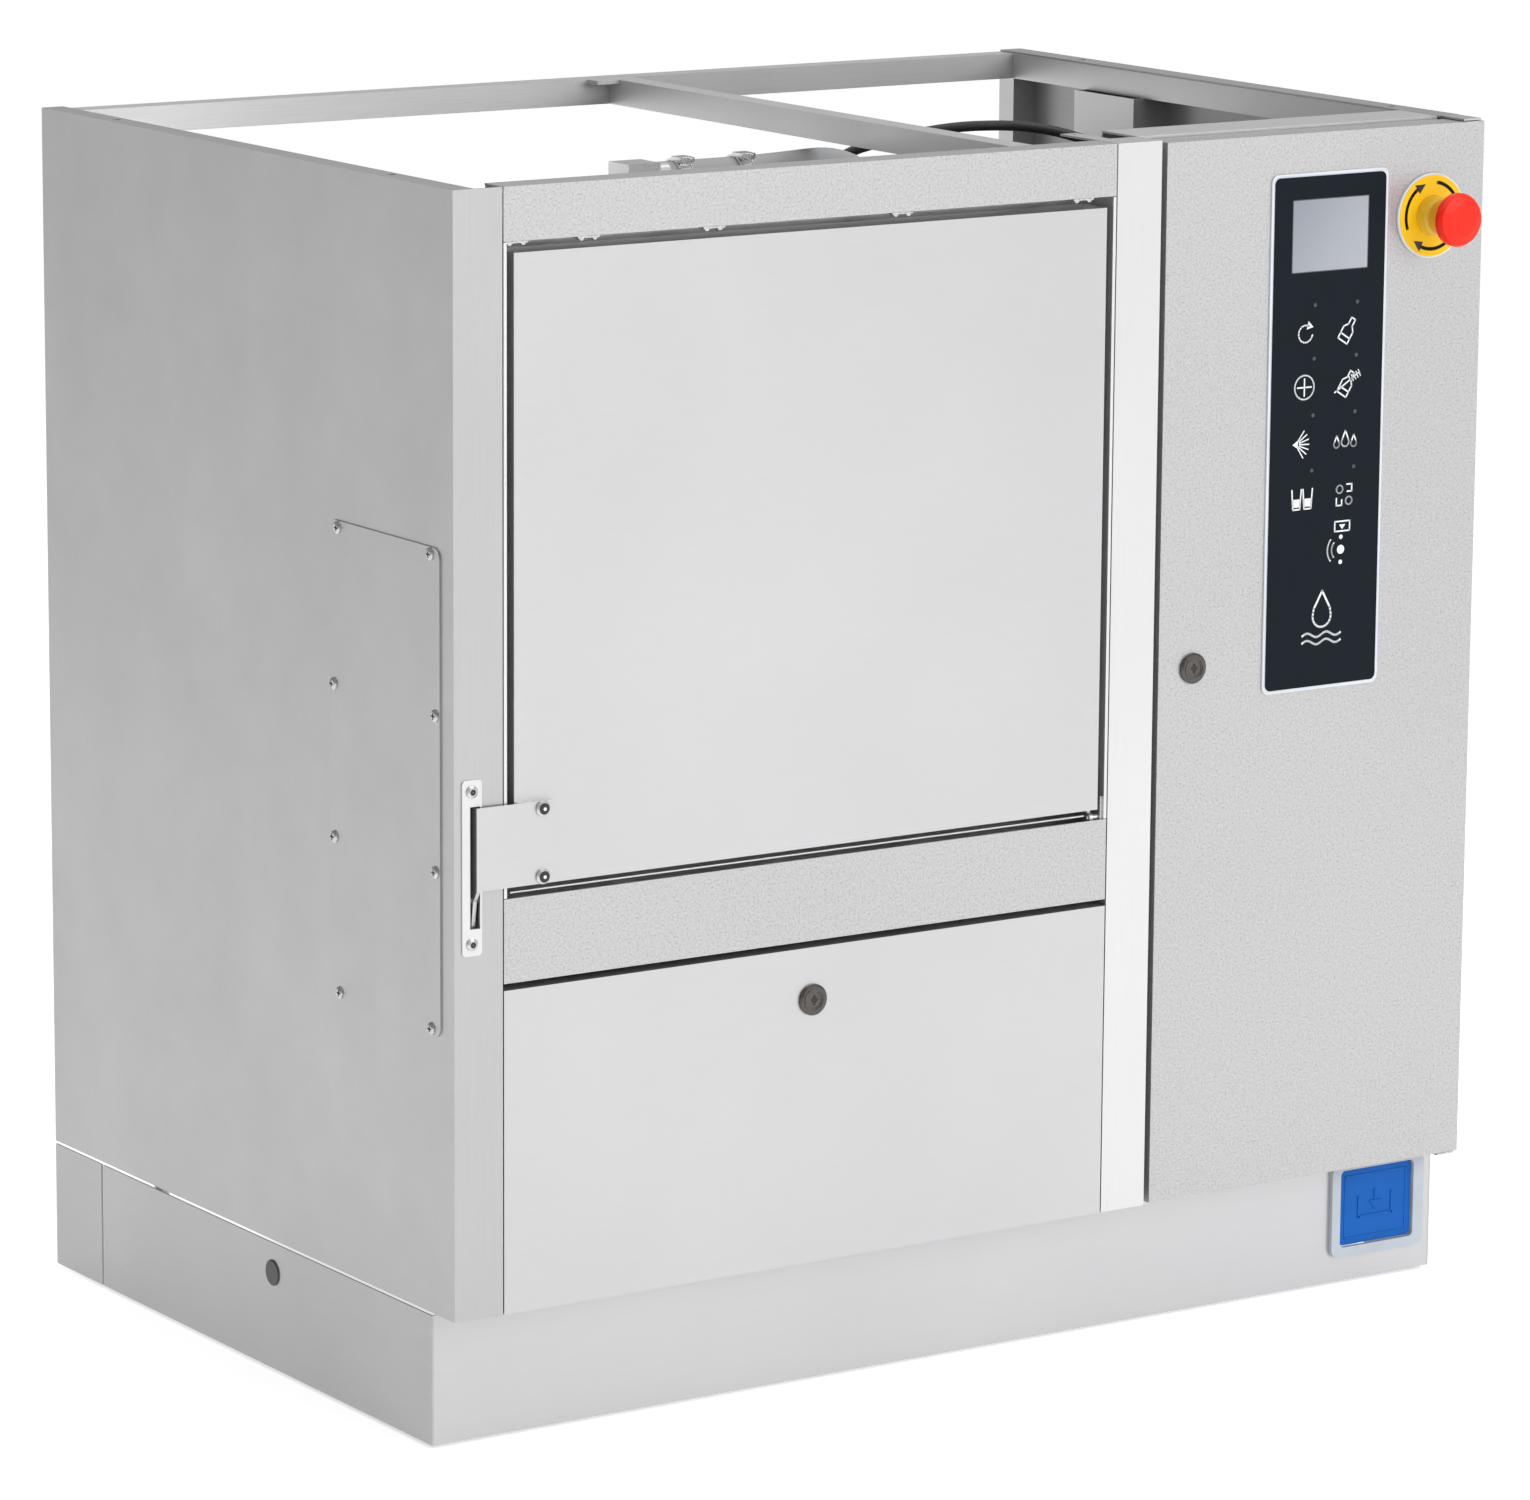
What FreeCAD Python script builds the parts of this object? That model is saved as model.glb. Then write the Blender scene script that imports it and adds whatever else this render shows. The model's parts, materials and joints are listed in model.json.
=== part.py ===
import FreeCAD, Part
import math
import os
import re

import Sketcher

# Washing machine for vessels and glassware: a wash bay with a bottom-hinged door on the left,
# a control bay with a side-hinged door on the right, both on one plinth.
# X runs to the right, Y to the back, Z up; the origin is on the floor under the middle.

DOC = FreeCAD.newDocument("washer")
NODES = []
VECTOR = FreeCAD.Vector

# Driving sizes in millimetres (angles in degrees). Each one is a cell of the sheet "dims".
SIZES = {
    # whole machine
    "width": 900, "depth": 600, "height": 900, "control_bay": 300,
    "sheet": 1.5, "panel_seam": 1, "door_gap": 5, "running": 0.05, "assembly_gap": 0.3, "overrun": 1,
    # plinth and feet
    "plinth_height": 98.5, "plinth_seam": 2.5, "plinth_setback": 32, "floor_gap": 3,
    "plinth_rear_part": 77, "plinth_split_gap": 3, "foot_inset": 60, "foot_radius": 22,
    "foot_thick": 8, "foot_collar": 4, "stem_radius": 6, "nut_radius": 11, "nut_height": 9,
    "plug_setback": 228, "plug_drop": 22.5, "plug_head": 9.75, "plug_stem": 7.8, "plug_thick": 1.2,
    "plug_reach": 8,
    # casing
    "post_width": 39.5, "post_return": 20, "middle_return": 30, "edge_flange": 18,
    "right_flange": 20, "body_setback": 30, "rail": 20, "rail_wall": 1.5,
    "cross_rail_inset": 110, "rear_opening": 100, "base_lip": 20,
    "channel_rear": 200, "channel_width": 80, "channel_depth": 30,
    "post_tab_width": 14, "post_tab_length": 42,
    "vent_width": 120, "vent_height": 6, "vent_pitch": 16, "vent_drop": 340, "vent_inset": 160,
    "worktop_hole": 3.25, "worktop_inset": 10, "worktop_span": 400, "worktop_access": 7,
    # side access panel and its screws
    "access_inset": 17, "access_width": 152, "access_rise": 200.5, "access_height": 347,
    "access_thick": 1.2, "access_corner": 8, "access_lap": 20,
    "access_edge": 5, "access_side": 6, "access_end": 12, "access_third": 118,
    "screw_head": 4.5, "screw_rise": 2, "screw_hole": 2.2, "screw_shank": 2, "screw_reach": 6,
    # front panels
    "flap_height": 234.5, "lower_fascia_height": 60.5, "top_fascia_height": 38, "top_fascia_depth": 25,
    "fascia_return": 22, "door_seam": 8, "jamb": 2.5, "jamb_gap": 0.5, "door_side_gap": 5.75,
    # wash door, its pivot and its arm
    "pivot_inset": 6, "pivot_rise": 1, "pivot_pin": 2.5, "door_depth": 28, "liner_thick": 2,
    "liner_rim": 12,
    "liner_inset": 1, "hub_radius": 5, "lug_radius": 4, "lug_width": 3, "lug_inset": 2.25,
    "pivot_plate": 2, "pivot_plate_half": 16, "pivot_plate_depth": 18, "pivot_side_gap": 1.5,
    "arm_inset": 16, "arm_thick": 3, "arm_width": 62, "arm_rise": 1, "arm_height": 59,
    "arm_standoff": 2, "arm_plate": 2, "arm_flange_depth": 12, "arm_corner": 3,
    "arm_screw_inset": 8.4, "arm_screw_edge": 5.25, "arm_head": 5.5, "arm_head_rise": 3,
    "slot_play": 3.5, "slot_side": 1.5, "slot_drop": 19, "plate_edge": 6.5, "plate_end": 19,
    "escutcheon_thick": 1, "escutcheon_screw_inset": 7.8, "escutcheon_screw_end": 8.25,
    # door drive: two equal levers joined by a rod
    "lever_length": 28, "lever_angle": -82, "lever_width": 10, "link_y": 75, "link_z": 100,
    "link_width": 9, "link_thick": 3, "link_gap": 1, "link_eye": 6, "joint_pin": 3, "crank_hub": 9,
    "shaft_radius": 5, "shaft_length": 30, "open_pivot_gap": 0.4, "motor_gap": 2, "gearbox_width": 37,
    "gearbox_half": 28, "motor_radius": 18, "motor_length": 95,
    # wash chamber
    "gasket_room": 8, "chamber_side": 30, "chamber_rear": 150, "chamber_floor_rise": 24,
    "chamber_top_drop": 30, "gasket_out": 14, "gasket_in": 2, "frame_drop": 56,
    "sump_radius": 70, "sump_depth": 30, "spigot_radius": 14, "spigot_length": 20,
    "spigot_offset": 36, "strainer_radius": 60, "strainer_thick": 2, "strainer_hole": 5,
    "strainer_ring": 38,
    "bearing_radius": 9, "axle_radius": 6, "axle_over": 8, "spray_share": 0.44, "spray_width": 34,
    "spray_thick": 12, "spray_rise": 20, "spray_hub": 20, "hub_over": 4, "hub_under": 6,
    "jet_radius": 3, "jet_depth": 4,
    "manifold_radius": 8, "manifold_rise": 75, "manifold_drop": 42, "manifold_rear": 20,
    "manifold_foot": 40,
    "manifold_end": 25, "nozzle_length": 26, "nozzle_base": 10, "nozzle_tip": 5,
    # rack on the wash door
    "rack_side": 29.5, "rack_rise": 53, "rack_share": 0.63, "rack_depth": 165,
    "rack_wire": 2.5, "rack_columns": 6, "rack_foot": 8, "rack_over": 4, "rack_bracket": 30,
    "bracket_width": 16, "bracket_height": 10,
    # pump group under the chamber
    "pump_rear": 110, "pump_drop": 145, "volute_inset": 119.5, "volute_width": 40, "volute_radius": 55,
    "volute_wall": 5, "impeller_radius": 46, "impeller_gap": 4, "pump_shaft": 7, "pump_motor_radius": 45,
    "pump_motor_length": 150, "saddle_inset": 20, "saddle_half": 30, "shaft_end": 4, "inlet_length": 25,
    "hose_radius": 14, "hose_wall": 2.5, "outlet_radius": 11, "fill_radius": 7.7, "hose_drop": 45,
    "drain_radius": 25, "drain_wall": 2.5, "drain_side": 40, "drain_rise": 57.5, "stub_reach": 40,
    "drain_inside": 50, "reducer_thick": 3, "collar_margin": 4, "collar_thick": 4,
    "inlet_radius": 13.2, "inlet_bore": 8, "inlet_inset": 240, "inlet_pitch": 70, "inlet_rise": 197.5,
    "inlet_bore_depth": 20, "valve_width": 40, "valve_depth": 50, "coil_radius": 16, "coil_height": 34,
    # break tank beside the chamber
    "tank_gap": 2.5, "tank_side": 11, "tank_rear": 10, "tank_depth": 180, "tank_rise": 95,
    "tank_drop": 32, "tank_wall": 3, "tank_port_drop": 50, "float_radius": 18, "float_height": 30,
    "float_drop": 100, "float_stem": 3, "float_rear": 90, "float_hole_gap": 0.4, "float_collar": 7.5,
    "float_collar_height": 8, "stem_drop": 10,
    # steam generator, electrics and detergents
    "boiler_inset": 150, "boiler_rise": 47.5, "boiler_radius": 70, "boiler_height": 270,
    "boiler_flange": 80, "boiler_flange_thick": 8, "heater_radius": 22, "heater_length": 40,
    "heater_rise": 45, "boiler_leg_pitch": 90, "boiler_leg_thick": 10, "boiler_leg_half": 30,
    "electrics_side": 20, "electrics_inset": 25, "electrics_rear": 360, "electrics_rise": 327.5,
    "electrics_drop": 130, "electrics_foot": 40, "electrics_leg": 12, "contactor_depth": 60,
    "contactor_rise": 30, "contactor_height": 80, "contactor_share": 0.85, "supply_depth": 50,
    "supply_rise": 150, "supply_height": 150, "logic_depth": 70, "logic_height": 120,
    "canister_gap": 20, "canister_share": 0.29, "canister_depth": 165, "canister_fill": 0.875,
    "canister_inset": 55, "canister_round": 12, "cap_radius": 22, "cap_height": 18, "cap_side": 40,
    "dosing_size": 44, "dosing_rise": 9.5, "dosing_neck": 12, "dosing_head": 19, "dosing_head_depth": 16,
    # service flap
    "flap_depth": 18, "flap_pivot_y": 8, "flap_pivot_z": 8, "flap_pin": 3, "flap_pin_reach": 7,
    # cam locks
    "flap_lock_drop": 38.5, "flap_tail": 27, "control_lock_inset": 31, "control_lock_rise": 27,
    "control_tail": 34, "lock_face": 11.5, "lock_rise": 3, "lock_bevel": 1.5, "lock_barrel": 9,
    "lock_barrel_length": 18, "lock_core": 6, "core_recess": 0.4, "cam_length": 46, "cam_width": 14,
    "cam_thick": 3, "key_slot": 7, "key_slot_width": 1.6,
    # control door
    "control_depth": 25, "control_top_drop": 2, "hinge_gap": 1, "hinge_plate": 1.4, "hinge_inset_x": 8,
    "hinge_inset_y": 8, "hinge_pin": 3, "hinge_pin_length": 9, "hinge_lap": 4, "top_rail_depth": 45,
    # keypad and emergency button
    "keypad_inset": 199.5, "keypad_width": 108.5, "keypad_drop": 31.4, "keypad_height": 389.1,
    "keypad_corner": 6, "overlay_corner": 4.7, "keypad_thick": 1.2, "overlay_inset": 2.6,
    "overlay_thick": 0.7,
    "stop_inset": 50, "stop_drop": 70, "collar_radius": 15, "collar_rise": 14, "collar_bevel": 2,
    "thread_radius": 11, "contact_size": 34, "contact_depth": 34, "stop_stem": 8, "stop_head": 20,
    "stop_reach": 40, "stop_head_thick": 17, "stem_socket": 5,
    # foot pedal
    "pedal_inset": 98, "pedal_width": 89, "pedal_height": 75, "pedal_drop": 1.5, "pedal_frame_thick": 3.5,
    "pedal_corner": 8, "pad_edge_left": 8, "pad_edge_right": 10, "pad_edge_low": 8, "pad_edge_high": 6,
    "pad_gap": 1, "pad_thick": 5, "pad_recess": 1, "pedal_axis_y": 8, "pedal_axis_drop": 6, "pedal_pin": 3,
    "pedal_ear": 4, "pedal_barrel": 5, "ear_gap": 0.5, "ear_half": 6,
    # steam hose over the chamber and wiring
    "steam_hose": 13, "steam_drop": 43, "steam_shift": 30, "steam_y": -10, "steam_elbow": 14,
    "steam_reach": 26, "cable_radius": 4, "cable_drop": 32,
}

# Planes, centres and sizes that follow from the driving sizes.
PLANES = {
    "left": "-width / 2", "right": "width / 2", "front": "-depth / 2", "back": "depth / 2",
    "inner_left": "left + sheet", "inner_right": "right - sheet", "skin": "front + sheet",
    "body_low": "plinth_height + plinth_seam", "base_top": "body_low + sheet",
    "plinth_face": "front + plinth_setback", "plinth_split": "back - plinth_rear_part",
    "plug_y": "plinth_face + plug_setback", "plug_z": "plinth_height - plug_drop",
    "post_right": "right - control_bay", "post_left": "post_right - post_width",
    "bay_left": "left + post_width + panel_seam", "bay_right": "post_left - panel_seam",
    "bay_width": "bay_right - bay_left", "bay_middle": "(bay_left + bay_right) / 2",
    "body_front": "front + body_setback", "control_left": "post_right + door_gap",
    "flap_high": "body_low + flap_height", "ledge_low": "flap_high + door_gap",
    "ledge_high": "ledge_low + lower_fascia_height", "brow_low": "height - top_fascia_height",
    "door_low": "ledge_high + door_seam", "door_high": "brow_low - door_seam",
    "door_left": "bay_left + jamb + door_side_gap", "door_right": "bay_right - jamb - door_side_gap",
    "door_back": "front + door_depth", "liner_back": "door_back + liner_thick",
    "cross_rail_left": "post_right - cross_rail_inset", "channel_front": "back - channel_rear",
    "rail_high": "height - sheet", "rail_low": "rail_high - rail", "rear_high": "height - rear_opening",
    "vent_x": "right - vent_inset", "vent_low": "height - vent_drop",
    "access_front": "front + access_inset", "access_back": "access_front + access_width",
    "access_low": "base_top + access_rise", "access_high": "access_low + access_height",
    "pivot_y": "front + pivot_inset", "pivot_z": "ledge_high + pivot_rise",
    "lug_right": "door_right - lug_inset", "lug_left": "lug_right - lug_width",
    "arm_left": "left + arm_inset", "arm_right": "arm_left + arm_width",
    "flange_right": "arm_left + arm_thick",
    "arm_low": "door_low + arm_rise", "arm_high": "arm_low + arm_height",
    "arm_screw_x": "arm_right - arm_screw_inset", "arm_screw_low": "arm_low + arm_screw_edge",
    "arm_screw_high": "arm_high - arm_screw_edge",
    "arm_inner": "front - arm_standoff", "arm_face": "arm_inner - arm_plate",
    "slot_left": "arm_left - slot_play", "slot_right": "flange_right + slot_side",
    "slot_low": "pivot_z - slot_drop", "slot_high": "arm_high + overrun",
    "plate_left": "slot_left - plate_edge", "plate_right": "slot_right + slot_side",
    "plate_low": "slot_low - plate_end", "plate_high": "slot_high + plate_end",
    "escutcheon_screw_x": "plate_left + escutcheon_screw_inset",
    "escutcheon_screw_low": "plate_low + escutcheon_screw_end",
    "escutcheon_screw_high": "plate_high - escutcheon_screw_end",
    "lever_dy": "lever_length * cos(lever_angle * 1deg)",
    "lever_dz": "lever_length * sin(lever_angle * 1deg)",
    "link_left": "flange_right + link_gap", "link_right": "link_left + link_thick",
    "link_length": "sqrt(link_y * link_y + link_z * link_z)",
    "crank_y": "pivot_y + link_y", "crank_z": "pivot_z + link_z",
    "motor_face": "link_right + motor_gap", "gearbox_right": "motor_face + gearbox_width",
    "frame_y": "liner_back + gasket_room", "frame_back": "frame_y + sheet",
    "chamber_left": "bay_left + chamber_side", "chamber_right": "bay_right - chamber_side",
    "chamber_back": "back - chamber_rear",
    "chamber_low": "ledge_high + chamber_floor_rise", "chamber_high": "brow_low - chamber_top_drop",
    "gasket_front": "liner_back + assembly_gap", "sump_low": "chamber_low - sump_depth",
    "sump_end": "sump_low - spigot_length",
    "arm_x": "bay_middle", "arm_y": "(frame_back + chamber_back) / 2",
    "spray_radius": "min(chamber_right - chamber_left; chamber_back - frame_back) * spray_share",
    "spray_low": "chamber_low + spray_rise", "spray_high": "spray_low + spray_thick",
    "jet_pitch": "spray_radius / 4",
    "manifold_y": "chamber_back - manifold_rear", "manifold_low": "chamber_low + manifold_rise",
    "manifold_high": "chamber_high - manifold_drop",
    "nozzle_pitch": "(manifold_high - manifold_low - manifold_end * 2) / 3",
    "rack_left": "chamber_left + rack_side", "rack_right": "chamber_right - rack_side",
    "rack_low": "chamber_low + rack_rise",
    "rack_high": "rack_low + (chamber_high - chamber_low) * rack_share",
    "rack_middle": "(rack_low + rack_high) / 2", "rack_front": "liner_back + rack_foot + rack_wire",
    "rack_back": "liner_back + rack_depth",
    "pump_y": "chamber_back - pump_rear", "pump_z": "sump_low - pump_drop",
    "volute_left": "chamber_left + volute_inset", "volute_right": "volute_left + volute_width",
    "volute_middle": "volute_left + volute_width / 2", "motor_right": "volute_right + pump_motor_length",
    "volute_top": "pump_z + volute_radius + spigot_length", "pump_end": "volute_left - inlet_length",
    "drain_x": "motor_right + drain_side", "drain_z": "base_top + drain_rise",
    "inlet_x": "right - inlet_inset", "inlet_z": "base_top + inlet_rise",
    "coil_y": "back - sheet - valve_depth / 2", "coil_low": "inlet_z + valve_width / 2",
    "tank_left": "inner_left + tank_gap", "tank_right": "chamber_left - sheet - tank_side",
    "tank_middle": "(tank_left + tank_right) / 2",
    "tank_back": "chamber_back - tank_rear",
    "tank_front": "tank_back - min(tank_depth; tank_back - access_back - tank_rear)",
    "tank_low": "chamber_low + tank_rise", "tank_high": "chamber_high - tank_drop",
    "tank_port_z": "tank_high - tank_port_drop", "float_y": "tank_back - float_rear",
    "float_z": "tank_high - float_drop",
    "boiler_x": "right - boiler_inset", "boiler_y": "back - boiler_inset",
    "boiler_low": "base_top + boiler_rise", "boiler_high": "boiler_low + boiler_height",
    "boiler_top": "boiler_high + boiler_flange_thick",
    "electrics_left": "control_left + electrics_side", "electrics_right": "right - electrics_inset",
    "electrics_width": "electrics_right - electrics_left", "electrics_y": "back - electrics_rear",
    "electrics_low": "base_top + electrics_rise", "electrics_high": "height - electrics_drop",
    "contactor_pitch": "electrics_width * 0.21", "supply_low": "electrics_low + supply_rise",
    "logic_left": "electrics_left + electrics_width * 0.56",
    "logic_right": "electrics_left + electrics_width * 0.94",
    "logic_high": "supply_low + logic_height",
    "canister_pitch": "bay_width * canister_share", "canister_width": "canister_pitch - canister_gap",
    "canister_first": "bay_left + canister_gap", "canister_front": "front + canister_inset",
    "canister_top": "base_top + flap_height * canister_fill",
    "canister_back": "min(canister_front + canister_depth; pump_y - volute_radius - canister_gap)",
    "dosing_pitch": "bay_width / 4", "dosing_first": "bay_middle - dosing_pitch",
    "dosing_z": "ledge_low + dosing_rise", "dosing_middle": "dosing_z + dosing_size / 2",
    "flap_axis_y": "front + flap_pivot_y", "flap_axis_z": "body_low + flap_pivot_z",
    "flap_lock_z": "flap_high - flap_lock_drop",
    "control_low": "body_low + hinge_gap", "control_high": "height - control_top_drop",
    "hinge_x": "right - hinge_inset_x", "hinge_y": "front + hinge_inset_y",
    "keypad_left": "right - keypad_inset", "keypad_right": "keypad_left + keypad_width",
    "keypad_high": "height - keypad_drop", "keypad_low": "keypad_high - keypad_height",
    "control_lock_x": "control_left + control_lock_inset",
    "control_lock_z": "keypad_low + control_lock_rise",
    "stop_x": "right - stop_inset", "stop_z": "height - stop_drop",
    "head_low": "stop_reach - stop_head_thick",
    "pedal_left": "right - pedal_inset", "pedal_right": "pedal_left + pedal_width",
    "pedal_high": "plinth_height - pedal_drop", "pedal_low": "pedal_high - pedal_height",
    "pad_left": "pedal_left + pad_edge_left", "pad_right": "pedal_right - pad_edge_right",
    "pad_low": "pedal_low + pad_edge_low", "pad_high": "pedal_high - pad_edge_high",
    "pedal_y": "plinth_face + pedal_axis_y", "pedal_axis_z": "pad_high - pedal_axis_drop",
    "steam_x": "arm_x + steam_shift", "steam_z": "height - steam_drop",
}
FUNCTIONS = {"cos", "sin", "deg", "sqrt", "min"}

TURNS = {
    "+x": FreeCAD.Rotation(VECTOR(0, 1, 0), 90), "-x": FreeCAD.Rotation(VECTOR(0, 1, 0), -90),
    "+y": FreeCAD.Rotation(VECTOR(1, 0, 0), -90), "-y": FreeCAD.Rotation(VECTOR(1, 0, 0), 90),
    "+z": FreeCAD.Rotation(), "-z": FreeCAD.Rotation(VECTOR(1, 0, 0), 180),
}
# A flat piece is drawn in its own XY plane and turned to face along one axis.
FACINGS = {
    "x": FreeCAD.Rotation(VECTOR(1, 1, 1), 120),
    "y": FreeCAD.Rotation(VECTOR(1, 0, 0), 90),
    "z": FreeCAD.Rotation(),
}


def formula(text):
    """A size formula with sheet cells for its sizes and brackets for its planes."""
    def cell(match):
        word = match.group(0)
        if word in PLANES:
            return f"({formula(PLANES[word])})"
        return word if word in FUNCTIONS else f"dims.{word}"
    return re.sub(r"[a-z][a-z_]*", cell, str(text))


def fill_sheet():
    """Put every driving size in the sheet under its own name."""
    sheet = DOC.addObject("Spreadsheet::Sheet", "dims")
    for row, (name, size) in enumerate(SIZES.items(), start=1):
        sheet.set(f"A{row}", str(size))
        sheet.setAlias(f"A{row}", name)
    DOC.recompute()


def value(text):
    """The present number of a size formula."""
    GAUGE.setExpression("X", formula(text))
    GAUGE.recompute()
    return GAUGE.X.Value


def node(label, piece):
    """Name a finished sub-part; its label is its file's name."""
    piece.Label = label
    NODES.append(piece)
    return piece


def box(name, x, y, z):
    """Box between a low and a high plane on each axis."""
    solid = DOC.addObject("Part::Box", name)
    for size, axis, (low, high) in (("Length", "x", x), ("Width", "y", y), ("Height", "z", z)):
        solid.setExpression(size, formula(f"({high}) - ({low})"))
        solid.setExpression(f"Placement.Base.{axis}", formula(low))
    return solid


def place(piece, x, y, z):
    """Bind a piece's position to size formulas."""
    for axis, where in (("x", x), ("y", y), ("z", z)):
        piece.setExpression(f"Placement.Base.{axis}", formula(where))


def rod(name, axis, radius, x, y, z):
    """Round bar: its own axis takes (low, high), the other two axes take its centre line."""
    where = {"x": x, "y": y, "z": z}
    low, high = where[axis]
    where[axis] = low
    solid = DOC.addObject("Part::Cylinder", name)
    solid.Placement = FreeCAD.Placement(VECTOR(), TURNS["+" + axis])
    solid.setExpression("Radius", formula(radius))
    solid.setExpression("Height", formula(f"({high}) - ({low})"))
    place(solid, where["x"], where["y"], where["z"])
    return solid


def join(name, *pieces):
    """Weld pieces into one solid."""
    solid = DOC.addObject("Part::MultiFuse", name)
    solid.Shapes = list(pieces)
    solid.Refine = True
    return solid


def cut(name, base, *tools):
    """Take the tools away from the base."""
    solid = DOC.addObject("Part::Cut", name)
    solid.Base = base
    solid.Tool = tools[0] if len(tools) == 1 else join(name + "_tools", *tools)
    solid.Refine = True
    return solid


def group(name, *pieces):
    """Separate solids that count as one sub-part."""
    solid = DOC.addObject("Part::Compound", name)
    solid.Links = list(pieces)
    return solid


def shell(name, outer, inner):
    """Box with a hollow: outer and inner are (x, y, z) spans."""
    return cut(name, box(name + "_outer", *outer), box(name + "_inner", *inner))


def tube(name, axis, outer, inner, x, y, z):
    """Round tube."""
    return cut(name, rod(name + "_outer", axis, outer, x, y, z), rod(name + "_bore", axis, inner, x, y, z))


def pin_point(sketch, geometry, end, across, up):
    """Hold one point of a sketch at two size formulas from the origin."""
    for kind, where in (("DistanceX", across), ("DistanceY", up)):
        index = sketch.addConstraint(Sketcher.Constraint(kind, -1, 1, geometry, end, value(where)))
        name = f"{kind}_{geometry}_{end}"
        sketch.renameConstraint(index, name)
        sketch.setExpression(f"Constraints.{name}", formula(where))


def sketch_on(body, role, corners, circles=()):
    """Closed outline through the corners, with round holes (across, up, radius)."""
    sketch = body.newObject("Sketcher::SketchObject", body.Name + "_outline")
    plane = [face for face in body.Origin.OriginFeatures if face.Role == role][0]
    sketch.AttachmentSupport = [(plane, "")]
    sketch.MapMode = "FlatFace"
    points = [VECTOR(value(across), value(up), 0) for across, up in corners]
    for start, end in zip(points, points[1:] + points[:1]):
        sketch.addGeometry(Part.LineSegment(start, end), False)
    for index, (across, up) in enumerate(corners):
        sketch.addConstraint(Sketcher.Constraint("Coincident", index, 2, (index + 1) % len(points), 1))
        pin_point(sketch, index, 1, across, up)
    for across, up, radius in circles:
        centre = VECTOR(value(across), value(up), 0)
        index = sketch.addGeometry(Part.Circle(centre, VECTOR(0, 0, 1), value(radius)), False)
        pin_point(sketch, index, 3, across, up)
        bound = sketch.addConstraint(Sketcher.Constraint("Radius", index, value(radius)))
        sketch.renameConstraint(bound, f"radius_{index}")
        sketch.setExpression(f"Constraints.radius_{index}", formula(radius))
    return sketch, points


def flat(name, facing, corners, thick, circles=(), corner=None):
    """Flat piece: an outline padded through its thickness, its corners rounded if asked."""
    body = DOC.addObject("PartDesign::Body", name)
    sketch, points = sketch_on(body, "XY_Plane", corners, circles)
    pad = body.newObject("PartDesign::Pad", name + "_pad")
    pad.Profile = sketch
    pad.setExpression("Length", formula(f"({thick[1]}) - ({thick[0]})"))
    body.Tip = pad
    if corner:
        DOC.recompute()
        upright = [f"Edge{index}" for index, edge in enumerate(pad.Shape.Edges, start=1)
                   if is_upright_at(edge, points)]
        fillet = body.newObject("PartDesign::Fillet", name + "_corners")
        fillet.Base = (pad, upright)
        fillet.setExpression("Radius", formula(corner))
        body.Tip = fillet
    body.Placement = FreeCAD.Placement(VECTOR(), FACINGS[facing])
    axis_plane = thick[1] if facing == "y" else thick[0]
    body.setExpression(f"Placement.Base.{facing}", formula(axis_plane))
    return body


def is_upright_at(edge, points):
    """Whether an edge stands along the pad direction on one of the outline's corners."""
    start = edge.firstVertex().Point
    end = edge.lastVertex().Point
    level = VECTOR(start.x, start.y, 0)
    level_end = VECTOR(end.x, end.y, 0)
    on_corner = any(level.distanceToPoint(point) < 1e-4 for point in points)
    return on_corner and level.distanceToPoint(level_end) < 1e-4


def panel(name, facing, across, up, thick, circles=(), corner=None):
    """Rectangular flat piece."""
    corners = [(across[0], up[0]), (across[1], up[0]), (across[1], up[1]), (across[0], up[1])]
    return flat(name, facing, corners, thick, circles, corner)


def turned(name, axis, at, profile):
    """Turned piece: half outline of (radius, height) swept round its own axis at a point."""
    body = DOC.addObject("PartDesign::Body", name)
    sketch, _ = sketch_on(body, "XZ_Plane", profile)
    sweep = body.newObject("PartDesign::Revolution", name + "_turn")
    sweep.Profile = sketch
    sweep.ReferenceAxis = (sketch, ["V_Axis"])
    sweep.Angle = 360
    body.Tip = sweep
    body.Placement = FreeCAD.Placement(VECTOR(), TURNS[axis])
    place(body, *at)
    return body


def bent_path(points):
    """Straight runs joined by tangent arcs as large as the shorter run allows."""
    edges = []
    start = points[0]
    for before, corner, after in zip(points, points[1:], points[2:]):
        into = (corner - before).normalize()
        out = (after - corner).normalize()
        half = into.getAngle(out) / 2
        reach = 0.45 * min((corner - before).Length, (after - corner).Length)
        first = corner - into * reach
        last = corner + out * reach
        radius = reach / math.tan(half)
        centre_side = (out - into).normalize()
        middle = corner + centre_side * (radius / math.cos(half) - radius)
        edges.append(Part.LineSegment(start, first).toShape())
        edges.append(Part.Arc(first, middle, last).toShape())
        start = last
    edges.append(Part.LineSegment(start, points[-1]).toShape())
    return Part.Wire(edges)


def swept(name, radius, route):
    """Round bar swept along a route of (x, y, z) formulas."""
    points = [VECTOR(value(x), value(y), value(z)) for x, y, z in route]
    path = bent_path(points)
    ring = Part.Wire([Part.Circle(points[0], points[1] - points[0], value(radius)).toShape()])
    shape = path.makePipeShell([ring], True, False)
    expected = math.pi * value(radius) ** 2 * path.Length
    if abs(shape.Volume / expected - 1) > 0.01:
        raise RuntimeError(f"{name}: the swept volume does not match its length")
    return shape


def hose(name, outer, inner, route):
    """Hose of round section along a route."""
    solid = DOC.addObject("Part::Feature", name)
    solid.Shape = swept(name, outer, route).cut(swept(name, inner, route))
    return solid


def cable(name, radius, route):
    """Solid cable along a route."""
    solid = DOC.addObject("Part::Feature", name)
    solid.Shape = swept(name, radius, route)
    return solid


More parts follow.
